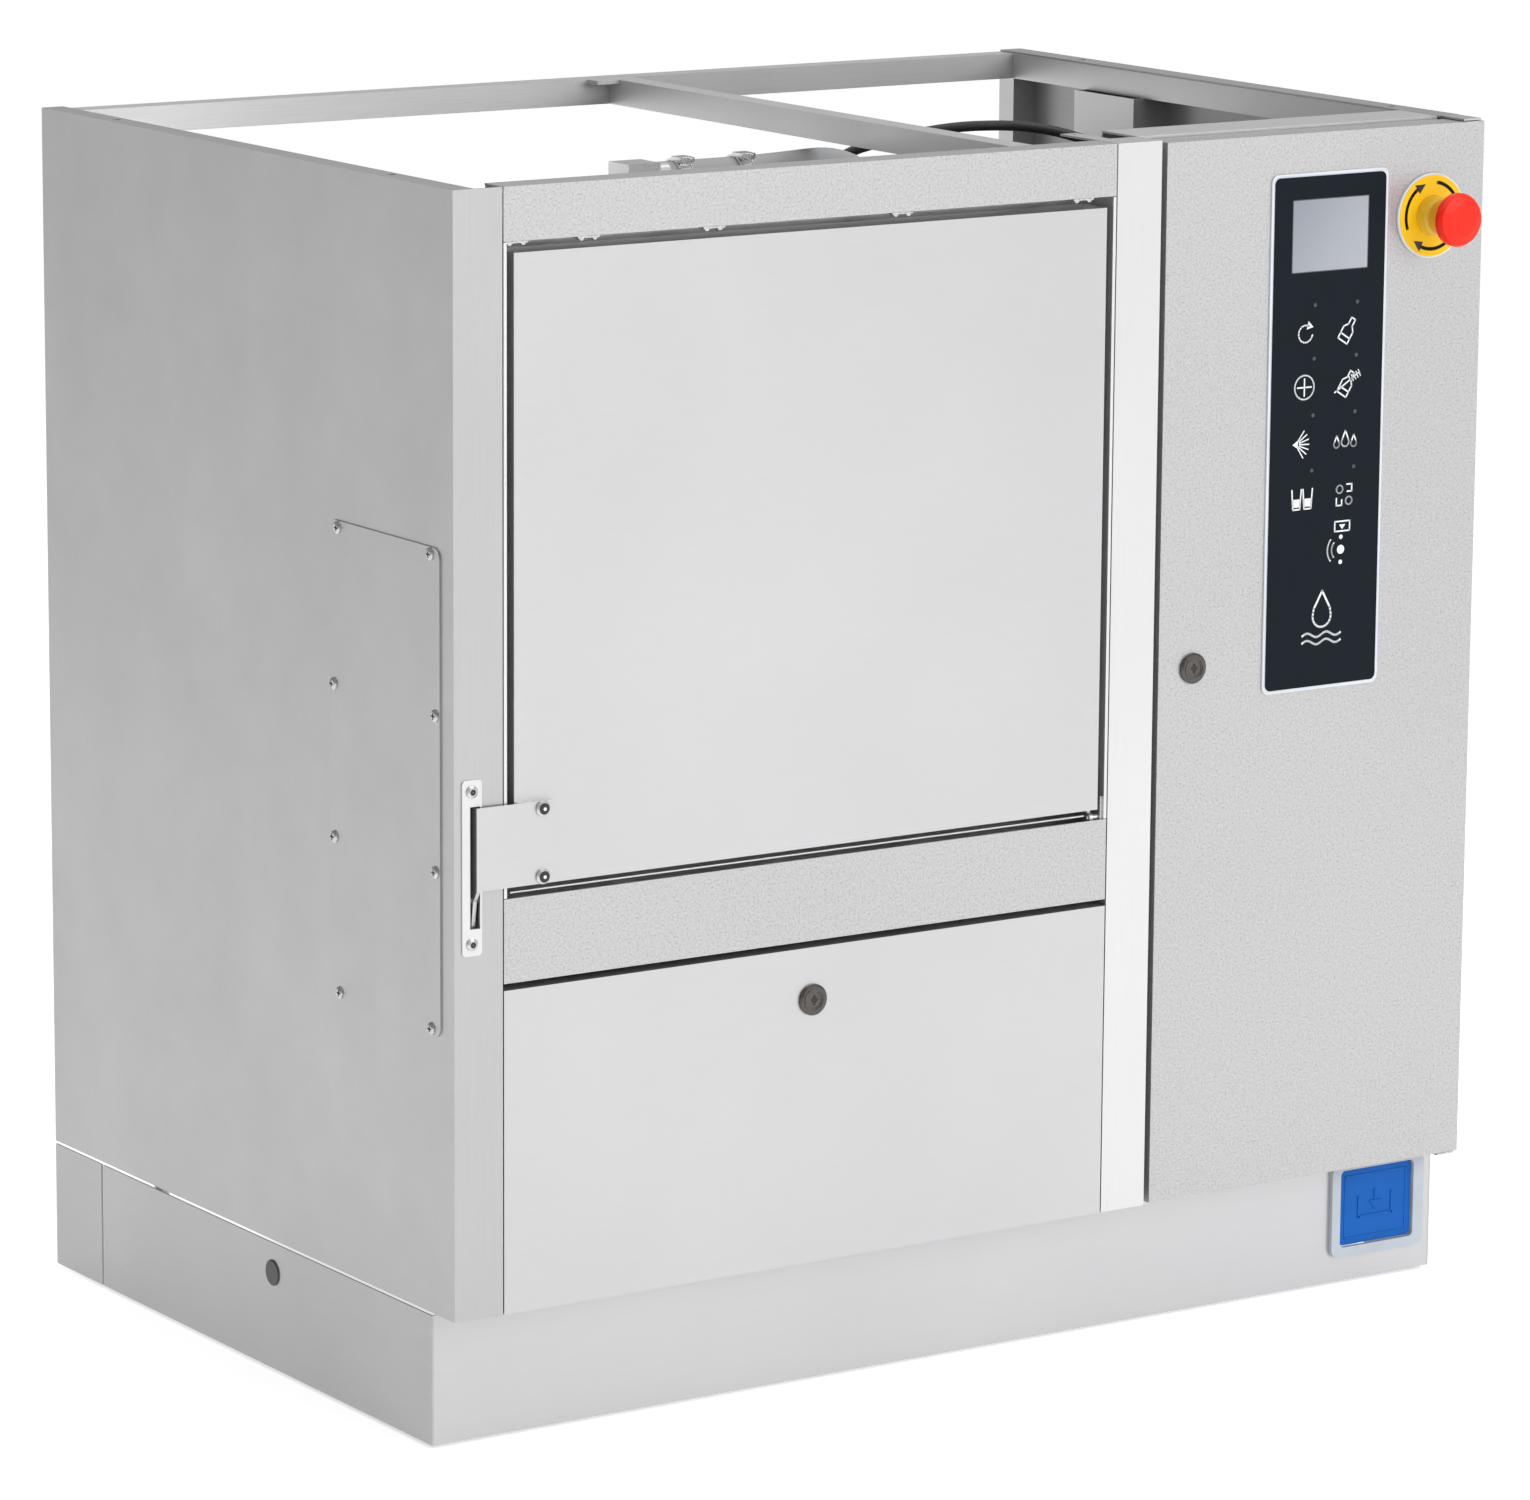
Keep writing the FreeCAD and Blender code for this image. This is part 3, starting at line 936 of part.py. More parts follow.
def make_spray_gear():
    blade = panel("spray_blade", "z", ("arm_x - spray_radius", "arm_x + spray_radius"),
                  ("arm_y - spray_width / 2", "arm_y + spray_width / 2"), ("spray_low", "spray_high"),
                  corner="spray_width * 0.4")
    hub_z = ("spray_low - hub_under", "spray_high + hub_over")
    hub = rod("spray_hub_body", "z", "spray_hub", "arm_x", "arm_y", hub_z)
    bore = rod("spray_hub_bore", "z", "axle_radius + running", "arm_x", "arm_y",
               (f"{hub_z[0]} - overrun", f"{hub_z[1]} + overrun"))
    jets = [rod(f"spray_jet_{number}", "z", "jet_radius", f"arm_x + {step} * jet_pitch", "arm_y",
                ("spray_high - jet_depth", "spray_high + overrun"))
            for number, step in enumerate((-3, -2, -1, 1, 2, 3))]
    node("spray_arm", cut("spray_arm", join("spray_body", blade, hub), bore, *jets))

    pipe = rod("manifold_pipe", "z", "manifold_radius", "arm_x", "manifold_y",
               ("manifold_low", "manifold_high"))
    foot = rod("manifold_stay", "y", "manifold_radius * 1.5", "arm_x",
               ("manifold_y", "chamber_back - sheet"),
               "manifold_low + manifold_foot")
    pieces = [pipe, foot]
    for number in range(4):
        z = f"manifold_low + manifold_end + {number} * nozzle_pitch"
        pieces.append(turned(f"nozzle_{number}", "-y", ("arm_x", "manifold_y - manifold_radius + sheet",
                                                        z), [
            (0, 0), ("nozzle_base", 0), ("nozzle_base", "nozzle_length * 0.4"),
            ("nozzle_tip", "nozzle_length"),
            (0, "nozzle_length")]))
    node("spray_nozzles", join("spray_nozzles", *pieces))


def make_steam_hose():
    """Steam hose from the elbow on the chamber's roof, under the cross rail, down to the steam generator."""
    start = "steam_x + steam_reach"
    route = [(start, "steam_y", "steam_z"), (f"{start} + 80", "steam_y", "steam_z"),
             ("cross_rail_left + 80", "steam_y + 60", "steam_z - 4"),
             ("boiler_x - 60", "boiler_y", "steam_z - 110"), ("boiler_x", "boiler_y", "(steam_z + boiler_high) / 2"),
             ("boiler_x", "boiler_y", "boiler_top")]
    node("steam_hose", hose("steam_hose", "steam_hose", "steam_hose - hose_wall", route))


def make_wiring():
    """Cable from the logic unit, over the bay and down behind the chamber to the pump motor."""
    start_x = "(logic_left + logic_right) / 2"
    start_y = "electrics_y - logic_depth / 2"
    top = "height - cable_drop"
    route = [(start_x, start_y, "logic_high"), (start_x, start_y, "(electrics_high + height) / 2"),
             ("boiler_x", "boiler_y - 85", top), ("post_right + 82", "boiler_y - 56", top),
             ("post_right", "chamber_back + 15", f"{top} - 30"),
             ("bay_right - 10", "chamber_back + 50", "(pump_z + height) / 2"),
             ("drain_x + 50", "chamber_back + 30", "pump_z + 110"),
             ("motor_right + 40", "pump_y + 20", "pump_z + 30"),
             ("motor_right + 30", "pump_y", "pump_z + 12"), ("motor_right", "pump_y", "pump_z + 12")]
    node("wiring_cable", cable("wiring_cable", "cable_radius", route))


# ---------------------------------------------------------------- water circuit

def make_pump():
    casing = rod("volute_casing", "x", "volute_radius", ("volute_left", "volute_right"), "pump_y", "pump_z")
    motor = rod("pump_motor", "x", "pump_motor_radius", ("volute_right", "motor_right"), "pump_y", "pump_z")
    inlet = rod("pump_inlet", "x", "spigot_radius", ("pump_end", "volute_left"), "pump_y", "pump_z")
    outlet = rod("pump_outlet", "z", "outlet_radius", "volute_middle", "pump_y", ("pump_z", "volute_top"))
    saddle = box("pump_saddle", ("volute_right + saddle_inset", "motor_right - saddle_inset"),
                 ("pump_y - saddle_half", "pump_y + saddle_half"),
                 ("base_top", "pump_z - pump_motor_radius * 0.6"))
    cavity = rod("volute_cavity", "x", "volute_radius - volute_wall",
                 ("volute_left + volute_wall", "volute_right - volute_wall"),
                 "pump_y", "pump_z")
    inlet_bore = rod("pump_inlet_bore", "x", "spigot_radius - volute_wall / 2",
                     ("pump_end - overrun", "volute_left + volute_wall * 2"), "pump_y", "pump_z")
    outlet_bore = rod("pump_outlet_bore", "z", "outlet_radius - volute_wall / 2", "volute_middle",
                      "pump_y", ("pump_z + impeller_radius", "volute_top + overrun"))
    shaft_bore = rod("pump_shaft_bore", "x", "pump_shaft + running",
                     ("volute_right - volute_wall * 2", "motor_right - saddle_inset"), "pump_y", "pump_z")
    node("wash_pump", cut("wash_pump", join("pump_body", casing, motor, inlet, outlet, saddle),
                          cavity, inlet_bore, outlet_bore, shaft_bore))

    disc = rod("impeller_disc", "x", "impeller_radius",
               ("volute_left + volute_wall + impeller_gap", "volute_right - volute_wall - impeller_gap"),
               "pump_y", "pump_z")
    shaft = rod("impeller_shaft", "x", "pump_shaft",
                ("volute_right - volute_wall - impeller_gap * 1.5",
                 "motor_right - saddle_inset - shaft_end"), "pump_y", "pump_z")
    node("pump_rotor", join("pump_rotor", disc, shaft))


def make_hoses():
    """Hoses between sump, pump, spray arm and drain; each meets its spigot end to end."""
    bore = "hose_radius - hose_wall"
    below = "sump_end - hose_drop"
    suction_x = "arm_x - spigot_offset"
    inlet_turn = "pump_end - hose_drop"
    suction = hose("suction_hose", "hose_radius", bore, [
        (suction_x, "arm_y", "sump_end"), (suction_x, "arm_y", below),
        (inlet_turn, "(arm_y + pump_y) / 2", "(sump_end + pump_z) / 2"), (inlet_turn, "pump_y", "pump_z"),
        ("pump_end", "pump_y", "pump_z")])
    delivery = hose("delivery_hose", "outlet_radius", "outlet_radius - hose_wall", [
        ("volute_middle", "pump_y", "volute_top"), ("volute_middle", "pump_y", "volute_top + 40"),
        ("volute_middle", "pump_y + 50", "volute_top + 50"),
        ("volute_middle", "pump_y + 50", "chamber_low")])
    drain_start = "arm_x + spigot_offset"
    drain = hose("drain_hose", "hose_radius", bore, [
        (drain_start, "arm_y", "sump_end"), (drain_start, "arm_y", below),
        ("drain_x", "arm_y + 10", "(sump_end + drain_z) / 2"), ("drain_x", "arm_y + 70", "drain_z"),
        ("drain_x", "back - drain_inside", "drain_z")])
    fill = hose("fill_hose", "fill_radius", "fill_radius - hose_wall", [
        ("inlet_x", "coil_y", "coil_low + coil_height"), ("inlet_x", "coil_y",
                                                          "coil_low + coil_height + 76"),
        ("inlet_x - 60", "back - 60", "tank_high - 60"), ("arm_x + 120", "back - 66", "tank_high - 40"),
        ("tank_right + 60", "back - 70", "tank_high - 44"), ("tank_middle", "back - 80", "tank_port_z"),
        ("tank_middle", "tank_back", "tank_port_z")])
    node("water_hoses", group("water_hoses", suction, delivery, drain, fill))


def make_rear_connections():
    pipe = tube("drain_tube", "y", "drain_radius", "drain_radius - drain_wall", "drain_x",
                ("back - drain_inside", "back + stub_reach"), "drain_z")
    plug = tube("drain_reducer", "y", "drain_radius", "hose_radius - hose_wall", "drain_x",
                ("back - drain_inside", "back - drain_inside + reducer_thick"), "drain_z")
    collar = tube("drain_collar", "y", "drain_radius + collar_margin", "drain_radius - drain_wall",
                  "drain_x",
                  ("back", "back + collar_thick"), "drain_z")
    node("drain_pipe", join("drain_pipe", pipe, plug, collar))

    valves = []
    for number in range(2):
        x = f"inlet_x + {number} * inlet_pitch"
        stub = rod(f"valve_stub_{number}", "y", "inlet_radius", x,
                   ("back - sheet * 2", "back + stub_reach"), "inlet_z")
        bore = rod(f"valve_bore_{number}", "y", "inlet_bore", x,
                   ("back - inlet_bore_depth", "back + stub_reach + overrun"), "inlet_z")
        block = box(f"valve_block_{number}", (f"{x} - valve_width / 2", f"{x} + valve_width / 2"),
                    ("back - sheet - valve_depth", "back - sheet"),
                    ("inlet_z - valve_width / 2", "inlet_z + valve_width / 2"))
        nut = rod(f"valve_nut_{number}", "y", "inlet_radius + collar_margin", x,
                  ("back", "back + collar_thick"), "inlet_z")
        coil = rod(f"valve_coil_{number}", "z", "coil_radius", x, "coil_y",
                   ("coil_low", "coil_low + coil_height"))
        valves.append(cut(f"inlet_valve_{number}", join(f"valve_body_{number}", stub, nut, block, coil),
                          bore))
    node("inlet_valves", group("inlet_valves", *valves))


def make_tank():
    """Open break tank beside the chamber with a float on its guide stem."""
    walls = shell("tank_walls", (("tank_left", "tank_right"), ("tank_front", "tank_back"),
                                 ("tank_low", "tank_high")), (
        ("tank_left + tank_wall", "tank_right - tank_wall"),
        ("tank_front + tank_wall", "tank_back - tank_wall"),
        ("tank_low + tank_wall", "tank_high + overrun")))
    stem = rod("float_stem_rod", "z", "float_stem", "tank_middle", "float_y",
               ("tank_low", "tank_high - stem_drop"))
    collar = rod("float_collar_disc", "z", "float_collar", "tank_middle", "float_y",
                 ("float_z - float_collar_height", "float_z - assembly_gap"))
    port = rod("tank_port", "y", "fill_radius - hose_wall", "tank_middle",
               ("tank_back - tank_wall * 2", "tank_back + overrun"), "tank_port_z")
    node("water_tank", cut("water_tank", join("tank_body", walls, stem, collar), port))
    body = rod("float_body", "z", "float_radius", "tank_middle", "float_y",
               ("float_z", "float_z + float_height"))
    bore = rod("float_bore", "z", "float_stem + float_hole_gap", "tank_middle", "float_y",
               ("float_z - overrun", "float_z + float_height + overrun"))
    node("tank_float", cut("tank_float", body, bore))


# ---------------------------------------------------------------- service space and control bay

def make_steam_generator():
    at = ("boiler_x", "boiler_y", 0)
    profile = [(0, "boiler_low"), ("boiler_radius", "boiler_low"),
               ("boiler_radius", "boiler_high - boiler_flange_thick"),
               ("boiler_flange", "boiler_high - boiler_flange_thick"), ("boiler_flange", "boiler_high"),
               ("heater_radius", "boiler_high"), ("heater_radius", "boiler_top"), (0, "boiler_top")]
    vessel = turned("boiler_vessel", "+z", at, profile)
    heater = rod("boiler_heater", "x", "heater_radius", ("boiler_x - boiler_radius - heater_length",
                                                         "boiler_x"),
                 "boiler_y", "boiler_low + heater_rise")
    legs = []
    for number, side in enumerate(("-", "+")):
        x = f"boiler_x {side} boiler_leg_pitch / 2"
        legs.append(box(f"boiler_leg_{number}", (f"{x} - boiler_leg_thick / 2",
                                                 f"{x} + boiler_leg_thick / 2"),
                        ("boiler_y - boiler_leg_half", "boiler_y + boiler_leg_half"),
                        ("base_top", "boiler_low + sheet * 3")))
    node("steam_generator", join("steam_generator", vessel, heater, *legs))


def make_control_electronics():
    """Mounting plate in the control bay with the power supply, contactors and logic unit."""
    span = ("electrics_left", "electrics_right")
    plate = box("electrics_plate", span, ("electrics_y", "electrics_y + sheet"),
                ("electrics_low", "electrics_high"))
    foot = box("electrics_shelf", span, ("electrics_y", "electrics_y + electrics_foot"),
               ("electrics_low", "electrics_low + sheet"))
    parts = [plate, foot]
    for number, x in enumerate(("electrics_left", "electrics_right - electrics_leg")):
        parts.append(box(f"electrics_leg_{number}", (x, f"{x} + electrics_leg"),
                         ("electrics_y", "electrics_y + electrics_leg"), ("base_top", "electrics_low")))
    for number in range(4):
        x = f"electrics_left + electrics_side + {number} * contactor_pitch"
        low = "electrics_low + contactor_rise"
        parts.append(box(f"contactor_{number}", (x, f"{x} + contactor_pitch * contactor_share"),
                         ("electrics_y - contactor_depth", "electrics_y"),
                         (low, f"{low} + contactor_height")))
    parts.append(box("power_supply", ("electrics_left + electrics_side",
                                      "electrics_left + electrics_width * 0.48"),
                     ("electrics_y - supply_depth", "electrics_y"),
                     ("supply_low", "supply_low + supply_height")))
    parts.append(box("logic_unit", ("logic_left", "logic_right"),
                     ("electrics_y - logic_depth", "electrics_y"),
                     ("supply_low", "logic_high")))
    node("control_electronics", join("control_electronics", *parts))


def make_detergents():
    canisters = []
    for number in range(3):
        x = f"canister_first + {number} * canister_pitch"
        body = panel(f"canister_body_{number}", "z", (x, f"{x} + canister_width"),
                     ("canister_front", "canister_back"), ("base_top", "canister_top"),
                     corner="canister_round")
        cap = rod(f"canister_cap_{number}", "z", "cap_radius", f"{x} + cap_side",
                  "(canister_front + canister_back) / 2",
                  ("canister_top", "canister_top + cap_height"))
        canisters.append(join(f"canister_{number}", body, cap))
    node("detergent_canisters", group("detergent_canisters", *canisters))

    pumps = []
    for number in range(3):
        x = f"dosing_first + {number} * dosing_pitch"
        body = box(f"dosing_body_{number}", (f"{x} - dosing_size / 2", f"{x} + dosing_size / 2"),
                   ("frame_back", "frame_back + dosing_size"), ("dosing_z", "dosing_z + dosing_size"))
        head = rod(f"dosing_head_{number}", "y", "dosing_head", x,
                   ("frame_y - dosing_head_depth", "frame_y"), "dosing_middle")
        neck = rod(f"dosing_neck_{number}", "y", "dosing_neck", x, ("frame_y", "frame_back"),
                   "dosing_middle")
        pumps.append(join(f"dosing_pump_{number}", body, head, neck))
    node("dosing_pumps", group("dosing_pumps", *pumps))


def make_flap():
    pan = shell("flap_pan", (("bay_left", "bay_right"), ("front", "front + flap_depth"),
                             ("body_low", "flap_high")), (
        ("bay_left + sheet", "bay_right - sheet"), ("skin", "front + flap_depth"),
        ("body_low + sheet", "flap_high - sheet")))
    bore = rod("flap_pivot_bore", "x", "flap_pin + running",
               ("bay_left - overrun", "bay_right + overrun"), "flap_axis_y", "flap_axis_z")
    hole = rod("flap_lock_hole", "y", "lock_barrel + running", "bay_middle",
               ("front - overrun", "skin + overrun"),
               "flap_lock_z")
    node("service_flap", cut("service_flap", pan, bore, hole))

    left = rod("flap_pin_left", "x", "flap_pin", ("left + post_width", "bay_left + flap_pin_reach"),
               "flap_axis_y", "flap_axis_z")
    right = rod("flap_pin_right", "x", "flap_pin", ("bay_right - flap_pin_reach", "post_left"),
                "flap_axis_y", "flap_axis_z")
    node("flap_pivots", group("flap_pivots", left, right))


def make_lock(name, x, z, tail, swing):
    """Cam lock: a fixed housing in the door and a turning core with its tongue."""
    housing = turned(f"{name}_housing", "-y", (x, "front", z), [
        ("lock_core + running", "-lock_barrel_length"), ("lock_barrel", "-lock_barrel_length"),
        ("lock_barrel", 0),
        ("lock_face", 0), ("lock_face", "lock_rise * 0.6"), ("lock_face - lock_bevel", "lock_rise"),
        ("lock_core + running", "lock_rise")])
    node(name, housing)

    core = rod(f"{name}_core_rod", "y", "lock_core", x, ("front - lock_rise + core_recess",
                                                         f"front + {tail}"), z)
    keyway = box(f"{name}_keyway", (f"{x} - key_slot_width / 2", f"{x} + key_slot_width / 2"),
                 ("front - lock_rise - overrun", "front + key_slot"),
                 (f"{z} - key_slot / 2", f"{z} + key_slot / 2"))
    half = "cam_width / 2"
    thick = (f"front + {tail} - cam_thick", f"front + {tail}")
    if swing == "x":
        tongue = box(f"{name}_tongue", (x, f"{x} + cam_length"), thick, (f"{z} - {half}", f"{z} + {half}"))
    else:
        tongue = box(f"{name}_tongue", (f"{x} - {half}", f"{x} + {half}"), thick, (f"{z} - cam_length", z))
    node(f"{name}_cam", cut(f"{name}_cam", join(f"{name}_core", core, tongue), keyway))


def make_control_door():
    span = ("control_left", "right")
    pan = shell("control_pan", (span, ("front", "front + control_depth"),
                                ("control_low", "control_high")), (
        ("control_left + sheet", "right - sheet"), ("skin", "front + control_depth"),
        ("control_low + sheet", "control_high - sheet")))
    lock_hole = rod("control_lock_hole", "y", "lock_barrel + running", "control_lock_x",
                    ("front - overrun", "skin + overrun"), "control_lock_z")
    stop_hole = rod("control_stop_hole", "y", "thread_radius + running", "stop_x",
                    ("front - overrun", "skin + overrun"), "stop_z")
    pin_hole = rod("control_pin_hole", "z", "hinge_pin + running", "hinge_x", "hinge_y",
                   ("control_low - overrun", "control_high + overrun"))
    node("control_door", cut("control_door", pan, lock_hole, stop_hole, pin_hole))

    arm_x = ("right - edge_flange", "right - sheet")
    low = join("low_hinge",
               box("low_hinge_plate", arm_x, ("hinge_y - hinge_pin * 2", "body_front + hinge_lap"),
                   ("body_low - hinge_plate", "body_low")),
               rod("low_hinge_pin", "z", "hinge_pin", "hinge_x", "hinge_y",
                   ("body_low - hinge_plate", "control_low + hinge_pin_length")))
    high = join("high_hinge",
                box("high_hinge_plate", arm_x, ("hinge_y - hinge_pin * 2", "body_front"),
                    ("height - hinge_plate", "height")),
                rod("high_hinge_pin", "z", "hinge_pin", "hinge_x", "hinge_y",
                    ("control_high - hinge_pin_length", "height")))
    node("control_door_hinges", group("control_door_hinges", low, high))


def make_keypad():
    face = ("front - keypad_thick", "front")
    node("keypad_bezel", panel("keypad_bezel", "y", ("keypad_left", "keypad_right"),
                               ("keypad_low", "keypad_high"), face,
                               corner="keypad_corner"))
    inset = "overlay_inset"
    node("keypad_overlay", panel("keypad_overlay", "y", (f"keypad_left + {inset}",
                                                         f"keypad_right - {inset}"),
                                 (f"keypad_low + {inset}", f"keypad_high - {inset}"),
                                 ("front - keypad_thick - overlay_thick", "front - keypad_thick"),
                                 corner="overlay_corner"))


def make_emergency_button():
    at = ("stop_x", "front", "stop_z")
    bore = "stop_stem + running"
    collar = turned("emergency_collar_body", "-y", at, [
        (bore, "-contact_depth * 0.5"), ("thread_radius", "-contact_depth * 0.5"), ("thread_radius", 0),
        ("collar_radius", 0),
        ("collar_radius", "collar_rise - collar_bevel"), ("collar_radius - collar_bevel", "collar_rise"),
        (bore, "collar_rise")])
    block = cut("contact_block",
                box("contact_case", ("stop_x - contact_size / 2", "stop_x + contact_size / 2"),
                    ("front + contact_depth * 0.3", "front + contact_depth * 1.1"),
                    ("stop_z - contact_size / 2", "stop_z + contact_size / 2")),
                rod("contact_bore", "y", bore, "stop_x", ("front", "front + contact_depth"), "stop_z"))
    node("emergency_collar", join("emergency_collar", collar, block))

    socket = "head_low + stem_socket"
    stem = turned("emergency_plunger", "-y", at, [
        (0, "-contact_depth * 0.8"), ("stop_stem", "-contact_depth * 0.8"), ("stop_stem", socket),
        (0, socket)])
    node("emergency_plunger", stem)

    recess = f"{socket} + assembly_gap"
    head = turned("emergency_head", "-y", at, [
        (0, recess), ("stop_stem + running", recess), ("stop_stem + running", "head_low"),
        ("stop_head * 0.62", "head_low"),
        ("stop_head * 0.7", "head_low + 3"), ("stop_head", "stop_reach - 9"),
        ("stop_head", "stop_reach - 5"),
        ("stop_head * 0.92", "stop_reach - 2"), ("stop_head * 0.6", "stop_reach"), (0, "stop_reach")])
    node("emergency_head", head)


def make_foot_pedal():
    face = ("plinth_face - pedal_frame_thick", "plinth_face")
    ring = cut("pedal_ring", panel("pedal_ring_plate", "y", ("pedal_left", "pedal_right"),
                                   ("pedal_low", "pedal_high"), face,
                                   corner="pedal_corner"),
               panel("pedal_ring_opening", "y", ("pad_left", "pad_right"), ("pad_low", "pad_high"),
                     ("plinth_face - pedal_frame_thick - overrun", "plinth_face + overrun"),
                     corner="pedal_corner / 2"))
    ears = []
    for side, x in (("left", ("pad_left - pedal_ear + ear_gap", "pad_left")),
                    ("right", ("pad_right", "pad_right + pedal_ear - ear_gap"))):
        ears.append(box(f"pedal_ear_{side}", x, ("plinth_face", "pedal_y + pedal_barrel"),
                        ("pedal_axis_z - ear_half", "pedal_axis_z + ear_half")))
    bore = rod("pedal_ear_bore", "x", "pedal_pin + running",
               ("pad_left - pedal_ear - overrun", "pad_right + pedal_ear + overrun"),
               "pedal_y", "pedal_axis_z")
    node("pedal_frame", cut("pedal_frame", join("pedal_frame_body", ring, *ears), bore))

    pad_x = ("pad_left + pad_gap", "pad_right - pad_gap")
    pad_y = ("plinth_face - pad_recess", "plinth_face - pad_recess + pad_thick")
    pad = panel("pedal_pad", "y", pad_x, ("pad_low + pad_gap", "pad_high - pad_gap"), pad_y,
                corner="pedal_corner / 2")
    barrel = rod("pedal_barrel_rod", "x", "pedal_barrel", pad_x, "pedal_y", "pedal_axis_z")
    pin = rod("pedal_pin_rod", "x", "pedal_pin", ("pad_left - pedal_ear + ear_gap * 2",
                                                  "pad_right + pedal_ear - ear_gap * 2"),
              "pedal_y", "pedal_axis_z")
    node("foot_pedal", join("foot_pedal", pad, barrel, pin))


def check_document():
    """Stop if any object failed to build or any sub-part is not a sound solid."""
    for item in DOC.Objects:
        if "Invalid" in item.State or "Error" in item.State:
            raise RuntimeError(f"{item.Label} failed: {item.State}")
    for piece in NODES:
        shape = piece.Shape
        if shape.isNull() or not shape.isValid() or not shape.Solids:
            raise RuntimeError(f"{piece.Label} is not a sound solid")


fill_sheet()
GAUGE = DOC.addObject("Part::Vertex", "gauge")
make_frame()
make_side_panels()
make_rear_and_base()
make_plinth()
make_fascias()
make_escutcheon()
make_panel_screws()
make_door_frame()
make_wash_door()
make_door_arm()
make_utensil_rack()
make_door_drive()
make_chamber()
make_spray_gear()
make_steam_hose()
make_wiring()
make_pump()
make_hoses()
make_rear_connections()
make_tank()
make_steam_generator()
make_control_electronics()
make_detergents()
make_flap()
make_lock("flap_lock", "bay_middle", "flap_lock_z", "flap_tail", "x")
make_control_door()
make_lock("control_lock", "control_lock_x", "control_lock_z", "control_tail", "z")
make_keypad()
make_emergency_button()
make_foot_pedal()

DOC.recompute()
check_document()
os.makedirs("parts", exist_ok=True)
for piece in NODES:
    piece.Shape.exportStep(f"parts/{piece.Label}.step")
print(f"{len(NODES)} sub-parts written")
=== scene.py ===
import json
import math

import bmesh
import bpy
from mathutils import Matrix, Vector


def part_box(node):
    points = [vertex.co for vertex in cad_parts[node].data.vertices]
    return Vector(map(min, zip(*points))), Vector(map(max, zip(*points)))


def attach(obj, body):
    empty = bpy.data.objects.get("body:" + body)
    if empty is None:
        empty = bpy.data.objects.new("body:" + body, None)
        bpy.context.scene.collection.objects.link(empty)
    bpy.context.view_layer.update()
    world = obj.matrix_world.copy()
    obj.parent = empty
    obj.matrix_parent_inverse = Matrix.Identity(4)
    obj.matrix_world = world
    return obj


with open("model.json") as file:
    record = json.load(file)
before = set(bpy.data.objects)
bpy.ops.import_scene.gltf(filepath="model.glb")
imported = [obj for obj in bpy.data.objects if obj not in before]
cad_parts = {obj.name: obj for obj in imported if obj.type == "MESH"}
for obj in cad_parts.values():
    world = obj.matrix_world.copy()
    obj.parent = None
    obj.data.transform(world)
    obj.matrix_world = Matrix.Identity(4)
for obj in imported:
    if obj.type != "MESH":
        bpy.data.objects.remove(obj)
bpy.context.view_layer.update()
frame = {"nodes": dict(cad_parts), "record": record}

MM = 0.001
NODES = frame["nodes"]
SLOT_OF = {row["node"]: row["material_slot"] for row in frame["record"]["subparts"]}


# ---------------------------------------------------------------- materials

class Shader:
    """Small helper round one material's node tree."""

    def __init__(self, name, **sockets):
        self.material = bpy.data.materials.new(name)
        self.material.use_nodes = True
        self.tree = self.material.node_tree
        self.surface = self.tree.nodes["Principled BSDF"]
        for socket, setting in sockets.items():
            self.surface.inputs[socket.replace("_", " ")].default_value = setting

    def node(self, kind, **settings):
        made = self.tree.nodes.new(kind)
        for key, setting in settings.items():
            setattr(made, key, setting)
        return made

    def link(self, source, target):
        self.tree.links.new(source, target)

    def coordinates(self, stretch=(1, 1, 1), turn=(0, 0, 0)):
        """Object coordinates, scaled and turned."""
        where = self.node("ShaderNodeTexCoord")
        mapping = self.node("ShaderNodeMapping")
        mapping.inputs["Scale"].default_value = stretch
        mapping.inputs["Rotation"].default_value = turn
        self.link(where.outputs["Object"], mapping.inputs["Vector"])
        return mapping.outputs["Vector"]

    def noise(self, vector, scale, detail=3.0, roughness=0.55):
        made = self.node("ShaderNodeTexNoise")
        made.inputs["Scale"].default_value = scale
        made.inputs["Detail"].default_value = detail
        made.inputs["Roughness"].default_value = roughness
        self.link(vector, made.inputs["Vector"])
        return made.outputs["Fac"]

    def ramp(self, factor, stops):
        """Colour ramp from (position, colour) stops."""
        made = self.node("ShaderNodeValToRGB")
        elements = made.color_ramp.elements
        while len(elements) < len(stops):
            elements.new(0.5)
        for element, (position, colour) in zip(elements, stops):
            element.position = position
            element.color = (*colour, 1.0)
        self.link(factor, made.inputs["Fac"])
        return made.outputs["Color"]

    def span(self, factor, low, high):
        """Map 0..1 to low..high."""
        made = self.node("ShaderNodeMapRange")
        made.inputs["To Min"].default_value = low
        made.inputs["To Max"].default_value = high
        self.link(factor, made.inputs["Value"])
        return made.outputs["Result"]

    def mix(self, kind, factor, first, second):
        made = self.node("ShaderNodeMix", data_type="RGBA", blend_type=kind)
        made.inputs["Factor"].default_value = factor
        self.link(first, made.inputs["A"])
        self.link(second, made.inputs["B"])
        return made.outputs["Result"]

    def bump(self, *layers):
        """Bumps stacked on each other: (height, strength, distance)."""
        below = None
        for height, strength, distance in layers:
            made = self.node("ShaderNodeBump")
            made.inputs["Strength"].default_value = strength
            made.inputs["Distance"].default_value = distance
            self.link(height, made.inputs["Height"])
            if below:
                self.link(below, made.inputs["Normal"])
            below = made.outputs["Normal"]
        self.link(below, self.surface.inputs["Normal"])


def tinted(colour, factor):
    return tuple(min(1.0, part * factor) for part in colour)


